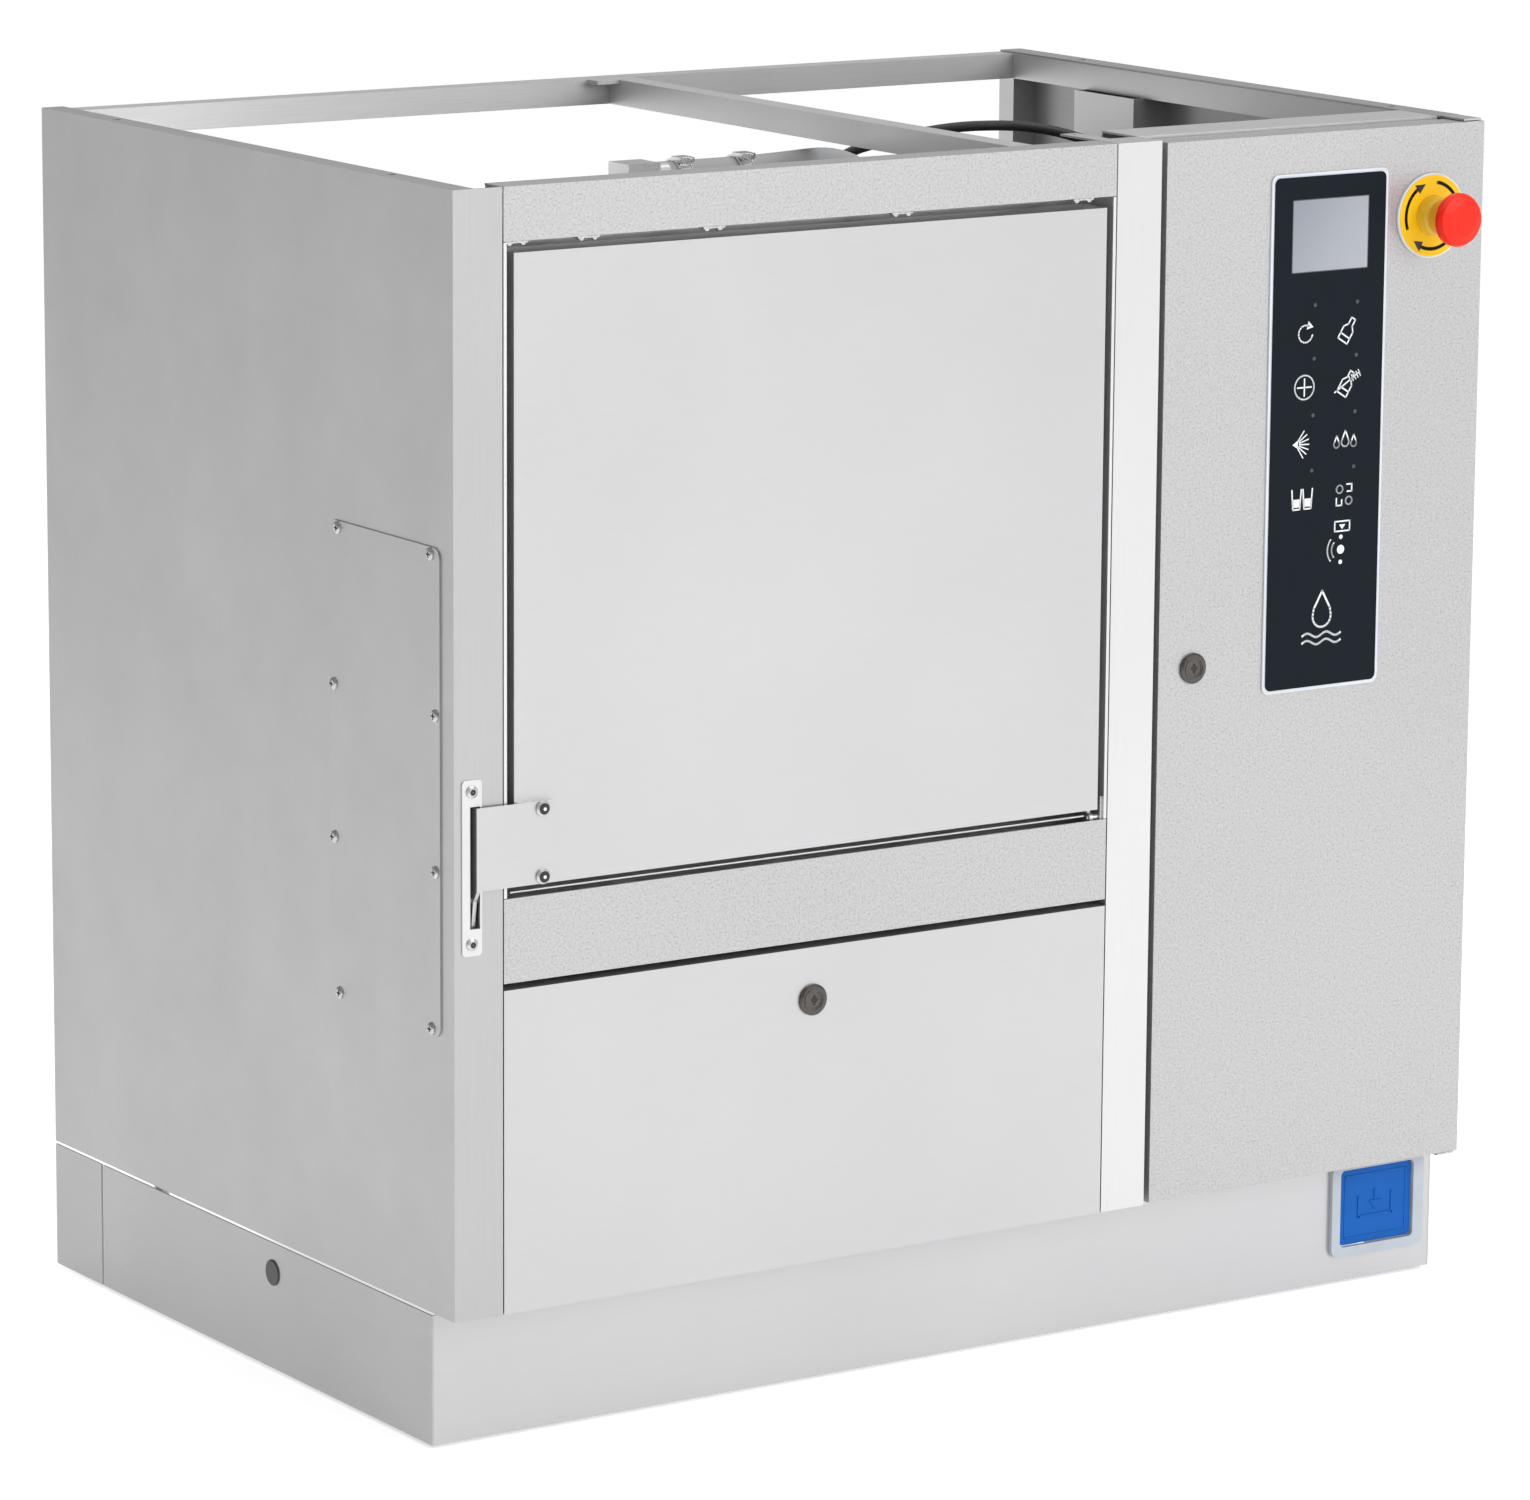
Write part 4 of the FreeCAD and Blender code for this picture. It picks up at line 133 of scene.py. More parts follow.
def brushed_steel(name, colour, roughness, grain, contrast=0.05, metallic=0.8):
    """Ground sheet: fine long scratches along one axis, cloudy sheen and faint handling marks."""
    shader = Shader(name, Metallic=metallic)
    scratches = shader.noise(shader.coordinates(grain), 1.0, 6.0, 0.7)
    clouds = shader.noise(shader.coordinates(), 3.2, 2.0)
    smudges = shader.noise(shader.coordinates((1, 1, 0.6)), 11.0, 4.0)
    lines = shader.ramp(scratches, ((0.25, tinted(colour, 1 - contrast)),
                                    (0.75, tinted(colour, 1 + contrast * 0.6))))
    haze = shader.ramp(clouds, ((0.3, tinted((1, 1, 1), 0.95)), (0.7, (1, 1, 1))))
    shader.link(shader.mix("MULTIPLY", 1.0, lines, haze), shader.surface.inputs["Base Color"])
    shader.link(shader.span(smudges, roughness - 0.05, roughness + 0.06),
                shader.surface.inputs["Roughness"])
    shader.bump((scratches, 0.10, 0.00006))
    return shader.material


def grained_steel(name, colour, roughness):
    """Sheet with a fine pressed grain that glitters in small light and dark specks."""
    shader = Shader(name, Metallic=0.72)
    fine = shader.noise(shader.coordinates(), 620.0, 2.0, 0.6)
    coarse = shader.noise(shader.coordinates(), 240.0, 2.0, 0.5)
    clouds = shader.noise(shader.coordinates(), 2.5, 2.0)
    specks = shader.ramp(fine, ((0.32, tinted(colour, 0.70)), (0.44, tinted(colour, 0.93)),
                                (0.58, colour), (0.72, tinted(colour, 1.12))))
    patches = shader.ramp(coarse, ((0.35, (0.95, 0.95, 0.95)), (0.65, (1, 1, 1))))
    haze = shader.ramp(clouds, ((0.3, (0.96, 0.96, 0.96)), (0.7, (1, 1, 1))))
    mottled = shader.mix("MULTIPLY", 1.0, specks, patches)
    shader.link(shader.mix("MULTIPLY", 1.0, mottled, haze), shader.surface.inputs["Base Color"])
    shader.link(shader.span(coarse, roughness - 0.06, roughness + 0.08), shader.surface.inputs["Roughness"])
    shader.bump((coarse, 0.16, 0.00010), (fine, 0.14, 0.00005))
    return shader.material


def moulded(name, colour, roughness, grain=900.0, depth=0.00005, **sockets):
    """Moulded plastic or rubber: fine texture, slight tone change."""
    shader = Shader(name, **sockets)
    fine = shader.noise(shader.coordinates(), grain, 2.0)
    cloud = shader.noise(shader.coordinates(), 26.0, 3.0)
    tone = shader.ramp(cloud, ((0.3, tinted(colour, 0.94)), (0.7, tinted(colour, 1.05))))
    shader.link(tone, shader.surface.inputs["Base Color"])
    shader.link(shader.span(cloud, roughness - 0.04, roughness + 0.05), shader.surface.inputs["Roughness"])
    shader.bump((fine, 0.25, depth))
    return shader.material


def cast_metal(name, colour, roughness):
    """Die-cast or turned fitting: grainy, darker in its pits."""
    shader = Shader(name, Metallic=0.85)
    pits = shader.noise(shader.coordinates(), 700.0, 3.0)
    cloud = shader.noise(shader.coordinates(), 60.0, 3.0)
    tone = shader.ramp(pits, ((0.3, tinted(colour, 0.72)), (0.62, tinted(colour, 1.12))))
    shader.link(tone, shader.surface.inputs["Base Color"])
    shader.link(shader.span(cloud, roughness - 0.06, roughness + 0.08), shader.surface.inputs["Roughness"])
    shader.bump((pits, 0.25, 0.00005))
    return shader.material


def printed(name, colour, roughness=0.45, **sockets):
    """Silk-screened ink: thin, with slightly uneven cover."""
    shader = Shader(name, Roughness=roughness, **sockets)
    cover = shader.noise(shader.coordinates(), 900.0, 2.0)
    shader.link(shader.ramp(cover, ((0.25, tinted(colour, 0.86)), (0.6, colour))),
                shader.surface.inputs["Base Color"])
    return shader.material


def display_face(name):
    """Switched-off liquid crystal cell behind a hard window: grey, with a painted reflection that makes it
    lighter toward its lower right.
    """
    low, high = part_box("keypad_overlay")
    shader = Shader(name, Roughness=0.22, Specular_IOR_Level=0.3)
    where = shader.node("ShaderNodeTexCoord")
    # Painted reflection: the cell's grey brightens along a slant toward its lower right, standing in for
    # glare on the window.
    glare_slope = shader.node("ShaderNodeVectorMath", operation="DOT_PRODUCT")
    glare_slope.inputs[1].default_value = (0.8, 0, -0.6)
    shader.link(where.outputs["Object"], glare_slope.inputs[0])
    span = shader.node("ShaderNodeMapRange")
    span.inputs["From Min"].default_value = 0.8 * (low.x + 16 * MM) - 0.6 * (high.z - 17 * MM)
    span.inputs["From Max"].default_value = 0.8 * (low.x + 87 * MM) - 0.6 * (high.z - 71 * MM)
    shader.link(glare_slope.outputs["Value"], span.inputs["Value"])
    cells = shader.noise(shader.coordinates(), 1400.0, 1.0)
    tone = shader.ramp(span.outputs["Result"], ((0.0, (0.26, 0.28, 0.32)), (0.55, (0.35, 0.37, 0.41)),
                                                (1.0, (0.40, 0.42, 0.46))))
    grid = shader.ramp(cells, ((0.3, (0.95, 0.95, 0.95)), (0.7, (1, 1, 1))))
    shader.link(shader.mix("MULTIPLY", 1.0, tone, grid), shader.surface.inputs["Base Color"])
    return shader.material


def collar_plastic(name):
    """Emergency button's body: yellow in front of the door's skin, black behind it."""
    shader = Shader(name, Roughness=0.42)
    where = shader.node("ShaderNodeTexCoord")
    split = shader.node("ShaderNodeSeparateXYZ")
    shader.link(where.outputs["Object"], split.inputs["Vector"])
    behind = shader.node("ShaderNodeMath", operation="GREATER_THAN")
    behind.inputs[1].default_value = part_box("control_door")[0].y + 0.8 * MM
    shader.link(split.outputs["Y"], behind.inputs[0])
    # Painted shade: the yellow in front of the skin is the label's yellow darkened for the shade under the
    # red head; the black behind is the contact block's own colour.
    shader.link(shader.ramp(behind.outputs["Value"], ((0.0, (0.74, 0.47, 0.03)),
                                                      (1.0, (0.03, 0.03, 0.035)))),
                shader.surface.inputs["Base Color"])
    shader.bump((shader.noise(shader.coordinates(), 900.0, 2.0), 0.2, 0.00005))
    return shader.material


UPRIGHT = (900, 900, 14)       # scratches that run up and down
LEVEL_X = (14, 900, 900)       # scratches that run left and right
LEVEL_Y = (900, 14, 900)       # scratches that run front to back


def slot_materials():
    """One finish for each material slot of the record."""
    return {
        "casing_steel": brushed_steel("steel_casing", (0.46, 0.46, 0.46), 0.38, LEVEL_Y, 0.06),
        "front_steel": brushed_steel("steel_front", (0.55, 0.545, 0.553), 0.36, LEVEL_X, 0.025),
        "speckled_steel": grained_steel("steel_grained", (0.53, 0.528, 0.533), 0.42),
        "frame_steel": brushed_steel("steel_frame", (0.70, 0.70, 0.70), 0.38, LEVEL_X, 0.08),
        "chamber_steel": brushed_steel("steel_chamber", (0.80, 0.80, 0.81), 0.26, LEVEL_X, 0.04, 0.95),
        "wire_steel": brushed_steel("steel_wire", (0.80, 0.80, 0.80), 0.22, UPRIGHT, 0.04, 1.0),
        "fixings": cast_metal("fixing_steel", (0.58, 0.58, 0.58), 0.32),
        "zinc": cast_metal("dark_zinc", (0.105, 0.095, 0.088), 0.34),
        "seal_rubber": moulded("seal_rubber", (0.018, 0.018, 0.019), 0.62),
        "hose_rubber": moulded("hose_rubber", (0.34, 0.345, 0.35), 0.50),
        "drive_metal": moulded("drive_paint", (0.10, 0.105, 0.11), 0.42, 400.0, 0.0001),
        "pump_metal": moulded("pump_paint", (0.09, 0.15, 0.22), 0.40, 400.0, 0.0001),
        "impeller_plastic": moulded("impeller_plastic", (0.03, 0.03, 0.032), 0.45),
        "tank_plastic": moulded("tank_plastic", (0.74, 0.76, 0.76), 0.45, Subsurface_Weight=0.15),
        "float_plastic": moulded("float_plastic", (0.72, 0.18, 0.05), 0.45),
        "canister_plastic": moulded("canister_plastic", (0.80, 0.81, 0.79), 0.48, Subsurface_Weight=0.2),
        "valve_plastic": moulded("valve_plastic", (0.76, 0.76, 0.73), 0.45),
        "pump_plastic": moulded("pump_plastic", (0.06, 0.065, 0.07), 0.45),
        "electrics": moulded("electrics_plastic", (0.42, 0.44, 0.45), 0.48),
        "boiler_steel": brushed_steel("steel_boiler", (0.70, 0.70, 0.70), 0.32, UPRIGHT, 0.06, 0.95),
        "drain_plastic": moulded("drain_plastic", (0.30, 0.31, 0.32), 0.48),
        "keypad_light": moulded("keypad_bezel_film", (0.66, 0.69, 0.74), 0.42),
        "cable_black": moulded("cable_sheath", (0.02, 0.02, 0.022), 0.45),
        "keypad_dark": moulded("keypad_film", (0.0045, 0.009, 0.0135), 0.50, 1200.0, 0.00003,
                               Specular_IOR_Level=0.10),
        "button_dark": collar_plastic("button_collar"),
        "button_red": moulded("button_red", (0.86, 0.018, 0.004), 0.40, Specular_IOR_Level=0.25),
        "pedal_grey": moulded("pedal_frame_plastic", (0.46, 0.50, 0.55), 0.42),
        "pedal_blue": moulded("pedal_blue", (0.0, 0.105, 0.44), 0.48, 500.0, 0.0001,
                              Specular_IOR_Level=0.2),
        "plug_grey": moulded("plug_grey", (0.055, 0.055, 0.052), 0.40),
    }


MATERIALS = slot_materials()
MATERIALS["upright_steel"] = brushed_steel("steel_post", (0.66, 0.66, 0.663), 0.34, UPRIGHT, 0.03)
# Painted shade: a darker copy of the front's steel for the left side panel and its access cover, standing
# in for the shade on that side.
MATERIALS["side_steel_painted_shade"] = brushed_steel("steel_side_painted_shade", (0.47, 0.47, 0.471), 0.38, (900, 18, 18), 0.05)
INK_WHITE = printed("ink_white", (0.86, 0.88, 0.90))
INK_BLACK = printed("ink_black", (0.02, 0.018, 0.015))
LABEL_YELLOW = moulded("label_yellow", (0.90, 0.56, 0.008), 0.46, Specular_IOR_Level=0.25)
LIGHT_OFF = moulded("lamp_off", (0.05, 0.055, 0.06), 0.30)
# Painted shade: near-black for the insides of screw sockets, cross recesses and keyholes, laid on as thin
# pieces in front of the surface.
RECESS_SHADE = moulded("painted_recess_shade", (0.02, 0.02, 0.02), 0.60)
DISPLAY = display_face("display_face")

FINISH_OF = {"middle_post": "upright_steel", "slot_escutcheon": "upright_steel",
             "left_side_panel": "side_steel_painted_shade",
             "left_access_panel": "side_steel_painted_shade"}


def dress_cad_nodes():
    """Give every CAD piece its finish and softened edges."""
    edges = {"foot_pedal": 0.8, "pedal_frame": 0.8, "detergent_canisters": 1.2, "emergency_head": 0.4}
    for name, node in NODES.items():
        finish = MATERIALS[FINISH_OF.get(name, SLOT_OF[name])]
        node.data.materials.clear()
        node.data.materials.append(finish)
        soften(node, edges.get(name, 0.35))


def soften(obj, width):
    """Merge flat facets and round the edges by a width in millimetres."""
    flat = obj.modifiers.new("merge_flats", "DECIMATE")
    flat.decimate_type = "DISSOLVE"
    flat.angle_limit = math.radians(0.8)
    bevel = obj.modifiers.new("edge_bevel", "BEVEL")
    bevel.width = width * MM
    bevel.segments = 2
    bevel.limit_method = "ANGLE"
    bevel.angle_limit = math.radians(38)
    bevel.harden_normals = True


# ---------------------------------------------------------------- mesh building

def finish_mesh(name, mesh_data, material, body):
    """Turn a bmesh into a piece that rides on a body."""
    bmesh.ops.recalc_face_normals(mesh_data, faces=mesh_data.faces)
    mesh = bpy.data.meshes.new(name)
    mesh_data.to_mesh(mesh)
    mesh_data.free()
    mesh.materials.append(material)
    for face in mesh.polygons:
        face.use_smooth = False
    piece = bpy.data.objects.new(name, mesh)
    bpy.context.scene.collection.objects.link(piece)
    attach(piece, body)
    return piece


def front_prism(made, outline, y_front, y_back):
    """Closed prism in front view: outline of (x, z) in metres between two depths."""
    front = [made.verts.new((x, y_front, z)) for x, z in outline]
    back = [made.verts.new((x, y_back, z)) for x, z in outline]
    made.faces.new(front)
    made.faces.new(list(reversed(back)))
    count = len(outline)
    for index in range(count):
        after = (index + 1) % count
        made.faces.new((front[after], front[index], back[index], back[after]))


def circle_points(x, z, radius, count=40, start=0.0, sweep=2 * math.pi):
    closed = abs(sweep - 2 * math.pi) < 1e-6
    steps = count if closed else count - 1
    return [(x + radius * math.cos(start + sweep * step / steps),
             z + radius * math.sin(start + sweep * step / steps))
            for step in range(count)]


def stroke(made, points, width, y_front, y_back, closed=False):
    """Line of constant width along points of a front view, as one prism per segment with round joints."""
    half = width / 2
    pairs = list(zip(points, points[1:] + points[:1])) if closed else list(zip(points, points[1:]))
    for (x0, z0), (x1, z1) in pairs:
        along = Vector((x1 - x0, z1 - z0))
        if along.length < 1e-7:
            continue
        along.normalize()
        side = Vector((-along.y, along.x)) * half
        tip = along * half * 0.6
        front_prism(made, [(x0 - tip.x + side.x, z0 - tip.y + side.y),
                           (x0 - tip.x - side.x, z0 - tip.y - side.y),
                           (x1 + tip.x - side.x, z1 + tip.y - side.y),
                           (x1 + tip.x + side.x, z1 + tip.y + side.y)],
                    y_front, y_back)


def ring_prism(made, x, z, outer, inner, y_front, y_back, count=64):
    """Flat ring in front view."""
    layers = []
    for radius in (outer, inner):
        for y in (y_front, y_back):
            layers.append([made.verts.new((px, y, pz)) for px, pz in circle_points(x, z, radius, count)])
    out_front, out_back, in_front, in_back = layers
    for index in range(count):
        after = (index + 1) % count
        made.faces.new((out_front[index], out_front[after], in_front[after], in_front[index]))
        made.faces.new((out_back[after], out_back[index], in_back[index], in_back[after]))
        made.faces.new((out_front[after], out_front[index], out_back[index], out_back[after]))
        made.faces.new((in_front[index], in_front[after], in_back[after], in_back[index]))


# ---------------------------------------------------------------- keypad

def keypad_place():
    """Front face of the keypad film and its box."""
    low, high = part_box("keypad_overlay")
    return low, high, low.y


class Icons:
    """Draws the keypad's generic symbols on the film's face, in millimetres from a centre."""

    def __init__(self, face_y, line=1.15):
        self.mesh = bmesh.new()
        self.front = face_y - 0.12 * MM
        self.back = face_y + 0.05 * MM
        self.line = line * MM

    def path(self, centre, points, closed=False, width=None):
        placed = [(centre[0] + x * MM, centre[1] + z * MM) for x, z in points]
        stroke(self.mesh, placed, width or self.line, self.front, self.back, closed)

    def arc(self, centre, offset, radius, start, sweep, count=14):
        middle = (centre[0] + offset[0] * MM, centre[1] + offset[1] * MM)
        points = circle_points(*middle, radius * MM, count, math.radians(start), math.radians(sweep))
        stroke(self.mesh, points, self.line, self.front, self.back, abs(sweep) >= 360)

    def dot(self, centre, offset, radius):
        points = circle_points(centre[0] + offset[0] * MM, centre[1] + offset[1] * MM, radius * MM, 20)
        front_prism(self.mesh, points, self.front, self.back)

    def fill(self, centre, points):
        front_prism(self.mesh, [(centre[0] + x * MM, centre[1] + z * MM) for x, z in points], self.front,
                    self.back)


def turned_points(points, degrees):
    angle = math.radians(degrees)
    return [(x * math.cos(angle) - z * math.sin(angle), x * math.sin(angle) + z * math.cos(angle)) for x,
            z in points]


BOTTLE = [(-5, -9), (5, -9), (5, 1), (2, 4.5), (2, 10), (-2, 10), (-2, 4.5), (-5, 1)]


def draw_restart(icons, at):
    icons.arc(at, (0, 0), 6.5, 60, 290)
    icons.fill(at, [(1.0, 3.2), (7.2, 4.8), (2.6, 9.4)])


def draw_plus(icons, at):
    icons.path(at, [(-6.5, 0), (6.5, 0)])
    icons.path(at, [(0, -6.5), (0, 6.5)])
    icons.arc(at, (0, 0), 9, 0, 360, 30)


def draw_jet(icons, at):
    """Fan-shaped water jet that leaves a nozzle on the left."""
    icons.fill(at, [(-10, 0), (-5, 3.2), (-5, -3.2)])
    for angle in (-56, -38, -20, -2, 16, 34, 52):
        reach = turned_points([(3.5, 0), (12.5, 0)], angle)
        icons.path(at, [(x - 7, z) for x, z in reach], width=0.9 * MM)


def draw_two_tumblers(icons, at):
    for shift in (-5.2, 5.2):
        cup = [(-4.4 + shift, 7.5), (-3.2 + shift, -7.5), (3.2 + shift, -7.5), (4.4 + shift, 7.5)]
        icons.path(at, cup)
        icons.fill(at, [(-3.3 + shift, -5.8), (3.3 + shift, -5.8), (3.8 + shift, 0.2), (-3.8 + shift, 0.2)])


def draw_bottle(icons, at):
    icons.path(at, turned_points(BOTTLE, -32), True)
    icons.path(at, turned_points([(-5, -4.5), (5, -4.5)], -32))


def draw_bottle_and_brush(icons, at):
    draw_bottle(icons, at)
    icons.path(at, [(-11, -6), (12, 8)])
    for step in range(5):
        icons.path(at, [(2.0 + step * 2.2, 5.4 + step * 1.1), (4.2 + step * 2.2, 0.6 + step * 1.1)],
                   width=0.8 * MM)


def draw_three_drops(icons, at):
    for x, z, size in ((-8, -1, 0.85), (0, 1, 1.15), (8, -1, 0.85)):
        icons.arc(at, (x, z - 2 * size), 3 * size, -220, 260, 14)
        icons.path(at, [(x - 2.4 * size, z), (x, z + 5.4 * size), (x + 2.4 * size, z)])


def draw_small_parts(icons, at):
    """Four small pieces laid in a square: two rings and two hooks."""
    for x, z in ((-4.2, 4.6), (4.6, -4.4)):
        icons.arc(at, (x, z), 2.9, 0, 360, 18)
    icons.path(at, [(2.4, 8), (7.2, 8), (7.2, 2.6), (3, 2.6)])
    icons.path(at, [(-7, -2), (-7, -7.6), (-2, -7.6), (-2, -3.4)])


def draw_open_door(icons, at):
    icons.path(at, [(-7, -3.6), (-7, 3.8), (7, 3.8), (7, -3.6)], True)
    icons.fill(at, [(-3, 1.4), (3, 1.4), (0, -2.2)])


def draw_sensor(icons, at):
    for z, radius in ((9.5, 1.7), (0, 3.4), (-9.5, 1.7)):
        icons.dot(at, (3, z), radius)
    for radius in (8.5, 12.5):
        icons.arc(at, (3, 0), radius, 140, 80, 12)


def draw_emblem(icons, at):
    """A plain water drop over two waves."""
    drop = [(0, 20), (7.5, 7)] + [(8.6 * math.cos(math.radians(angle)),
                                   1.2 + 8.6 * math.sin(math.radians(angle)))
                                 for angle in range(20, -201, -20)] + [(-7.5, 7)]
    icons.path(at, drop, True, 1.6 * MM)
    for level in (-13, -18.5):
        wave = [(x, level + 1.7 * math.sin(x / 18 * 2 * math.pi)) for x in range(-18, 19, 2)]
        icons.path(at, wave, width=1.6 * MM)


KEY_ROW_DROPS = (117, 157, 199.5, 241)    # millimetres below the film's top edge


def make_keypad():
    low, high, face = keypad_place()
    left = low.x + 30.5 * MM
    right = low.x + 70.0 * MM
    rows = [high.z - drop * MM for drop in KEY_ROW_DROPS]
    icons = Icons(face)
    for z, on_left, on_right in zip(rows, (draw_restart, draw_plus, draw_jet, draw_two_tumblers),
                                    (draw_bottle, draw_bottle_and_brush, draw_three_drops,
                                     draw_small_parts)):
        on_left(icons, (left, z))
        on_right(icons, (right, z))
    draw_open_door(icons, (right - 1 * MM, high.z - 264.5 * MM))
    draw_sensor(icons, (right - 5 * MM, high.z - 282 * MM))
    draw_emblem(icons, (low.x + 51.5 * MM, high.z - 332 * MM))
    finish_mesh("keypad_symbols", icons.mesh, INK_WHITE, "control_door_body")

    lamps = bmesh.new()
    for z in rows:
        for x in (left + 8.5 * MM, right + 8.5 * MM):
            front_prism(lamps, circle_points(x, z + 21 * MM, 1.5 * MM, 18), face - 0.25 * MM,
                        face + 0.05 * MM)
    finish_mesh("keypad_lamps", lamps, LIGHT_OFF, "control_door_body")

    window = bmesh.new()
    x0, x1 = low.x + 16.4 * MM, low.x + 87.0 * MM
    z0, z1 = high.z - 71 * MM, high.z - 17 * MM
    front_prism(window, [(x0, z0), (x1, z0), (x1, z1), (x0, z1)], face - 0.2 * MM, face + 0.1 * MM)
    finish_mesh("display_window", window, DISPLAY, "control_door_body")

    edge = bmesh.new()
    stroke(edge, [(x0, z0), (x1, z0), (x1, z1), (x0, z1)], 0.7 * MM, face - 0.28 * MM, face + 0.05 * MM,
           True)
    finish_mesh("display_edge", edge, LIGHT_OFF, "control_door_body")


# ---------------------------------------------------------------- emergency button

def make_stop_label():
    """Round yellow label plate with a pale rim and three plain twist arrows."""
    head_low, head_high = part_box("emergency_head")
    x = (head_low.x + head_high.x) / 2
    z = (head_low.z + head_high.z) / 2
    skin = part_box("control_door")[0].y
    inner = 15.05 * MM
    plate = bmesh.new()
    ring_prism(plate, x, z, 32 * MM, inner, skin - 2.4 * MM, skin - 0.02 * MM)
    rim = finish_mesh("stop_label_rim", plate, MATERIALS["keypad_light"], "control_door_body")
    soften(rim, 0.4)
    face = bmesh.new()
    ring_prism(face, x, z, 30.6 * MM, inner, skin - 2.9 * MM, skin - 2.35 * MM)
    soften(finish_mesh("stop_label_face", face, LABEL_YELLOW, "control_door_body"), 0.2)
    marks = bmesh.new()
    for start in (80, 200, 320):
        points = circle_points(x, z, 25 * MM, 16, math.radians(start), math.radians(-74))
        stroke(marks, points, 2.6 * MM, skin - 3.02 * MM, skin - 2.85 * MM)
        end = math.radians(start - 74)
        tip = math.radians(start - 94)
        front_prism(marks, [(x + 29 * MM * math.cos(end), z + 29 * MM * math.sin(end)),
                            (x + 25 * MM * math.cos(tip), z + 25 * MM * math.sin(tip)),
                            (x + 21 * MM * math.cos(end), z + 21 * MM * math.sin(end))],
                    skin - 3.02 * MM, skin - 2.85 * MM)
    finish_mesh("stop_label_arrows", marks, INK_BLACK, "control_door_body")


# ---------------------------------------------------------------- pedal

def make_pedal_mark():
    """Raised door-and-arrow sign and a raised border on the blue pad."""
    low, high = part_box("foot_pedal")
    pad_low_x, pad_high_x = low.x + 4 * MM, high.x - 4 * MM
    x = (pad_low_x + pad_high_x) / 2
    z = (low.z + high.z) / 2
    face = low.y
    sign = bmesh.new()
    half = 16 * MM
    stroke(sign, [(x - half, z + 7 * MM), (x - half, z - 9 * MM), (x + half, z - 9 * MM),
                  (x + half, z + 7 * MM)],
           2.4 * MM, face - 0.7 * MM, face + 0.2 * MM)
    front_prism(sign, [(x - 6 * MM, z + 3 * MM), (x + 6 * MM, z + 3 * MM), (x, z - 5 * MM)],
                face - 0.7 * MM, face + 0.2 * MM)
    stroke(sign, [(x, z + 11 * MM), (x, z + 3 * MM)], 2.6 * MM, face - 0.7 * MM, face + 0.2 * MM)
    soften(finish_mesh("pedal_sign", sign, MATERIALS["pedal_blue"], "pedal"), 0.25)
    border = bmesh.new()
    inset = 5 * MM
    corners = [(low.x + 4 * MM + inset, low.z + inset), (high.x - 4 * MM - inset, low.z + inset),
               (high.x - 4 * MM - inset, high.z - inset), (low.x + 4 * MM + inset, high.z - inset)]
    stroke(border, corners, 1.6 * MM, face - 0.4 * MM, face + 0.2 * MM, True)
    soften(finish_mesh("pedal_border", border, MATERIALS["pedal_blue"], "pedal"), 0.2)


# ---------------------------------------------------------------- fittings

def make_screw_recesses():
    """Painted shade for the round sockets of the arm's and the slot plate's screws and the cross recesses
    of the access panel's, with a steel drive in each arm screw's socket.
    """
    def cross(made, centre, across, up, out, size):
        for first, second in ((across, up), (up, across)):
            corners = []
            for depth in (-0.15 * MM, 0.35 * MM):
                for s, t in ((-1, -1), (1, -1), (1, 1), (-1, 1)):
                    corners.append(centre + first * (s * size) + second * (t * size * 0.24) - out * depth)
            verts = [made.verts.new(corner) for corner in corners]
            for face in ((0, 1, 2, 3), (7, 6, 5, 4), (0, 4, 5, 1), (1, 5, 6, 2), (2, 6, 7, 3),
                         (3, 7, 4, 0)):
                made.faces.new([verts[index] for index in face])

    right, back, up = Vector((1, 0, 0)), Vector((0, 1, 0)), Vector((0, 0, 1))
    arms, centres = bmesh.new(), bmesh.new()
    low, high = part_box("door_arm_screws")
    head = 5.5 * MM
    for z in (low.z + head, high.z - head):
        place = Vector(((low.x + high.x) / 2, low.y, z))
        add_lathe(arms, place, -back, [(0.0003, -0.3 * MM), (4.1 * MM, -0.3 * MM), (3.7 * MM, 0.12 * MM),
                                       (0.0003, 0.12 * MM)], 28)
        add_lathe(centres, place, -back, [(0.0003, -0.2 * MM), (1.7 * MM, -0.2 * MM),
                                          (1.4 * MM, 0.5 * MM), (0.0003, 0.6 * MM)], 6)
    finish_mesh("arm_screw_socket_shade", arms, RECESS_SHADE, "wash_door")
    finish_mesh("arm_screw_drives", centres, MATERIALS["wire_steel"], "wash_door")

    casing = bmesh.new()
    plate_low, plate_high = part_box("slot_escutcheon")
    middle = (plate_low.x + plate_high.x) / 2 - 0.2 * MM
    for z in (plate_low.z + 8.25 * MM, plate_high.z - 8.25 * MM):
        add_lathe(casing, (middle, plate_low.y - 2 * MM, z), -back,
                  [(0.0003, -0.3 * MM), (2.5 * MM, -0.3 * MM), (2.2 * MM, 0.1 * MM), (0.0003, 0.1 * MM)],
                  20)
    cover_low, cover_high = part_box("left_access_panel")
    places = [(y,
               z) for z in (cover_low.z + 5 * MM, cover_high.z - 5 * MM) for y in (cover_low.y + 12 * MM,
                   cover_high.y - 13 * MM)]
    places += [(y, z) for z in (cover_low.z + 118 * MM, cover_high.z - 118 * MM)
               for y in (cover_low.y + 6 * MM, cover_high.y - 5 * MM)]
    for y, z in places:
        cross(casing, Vector((cover_low.x - 2 * MM, y, z)), back, up, -right, 2.3 * MM)
    finish_mesh("panel_screw_recess_shade", casing, RECESS_SHADE, "cabinet")


CLIP_PLACES = (11.5, 69.5, 172.5, 332, 490.5)    # millimetres from the fascia's left end


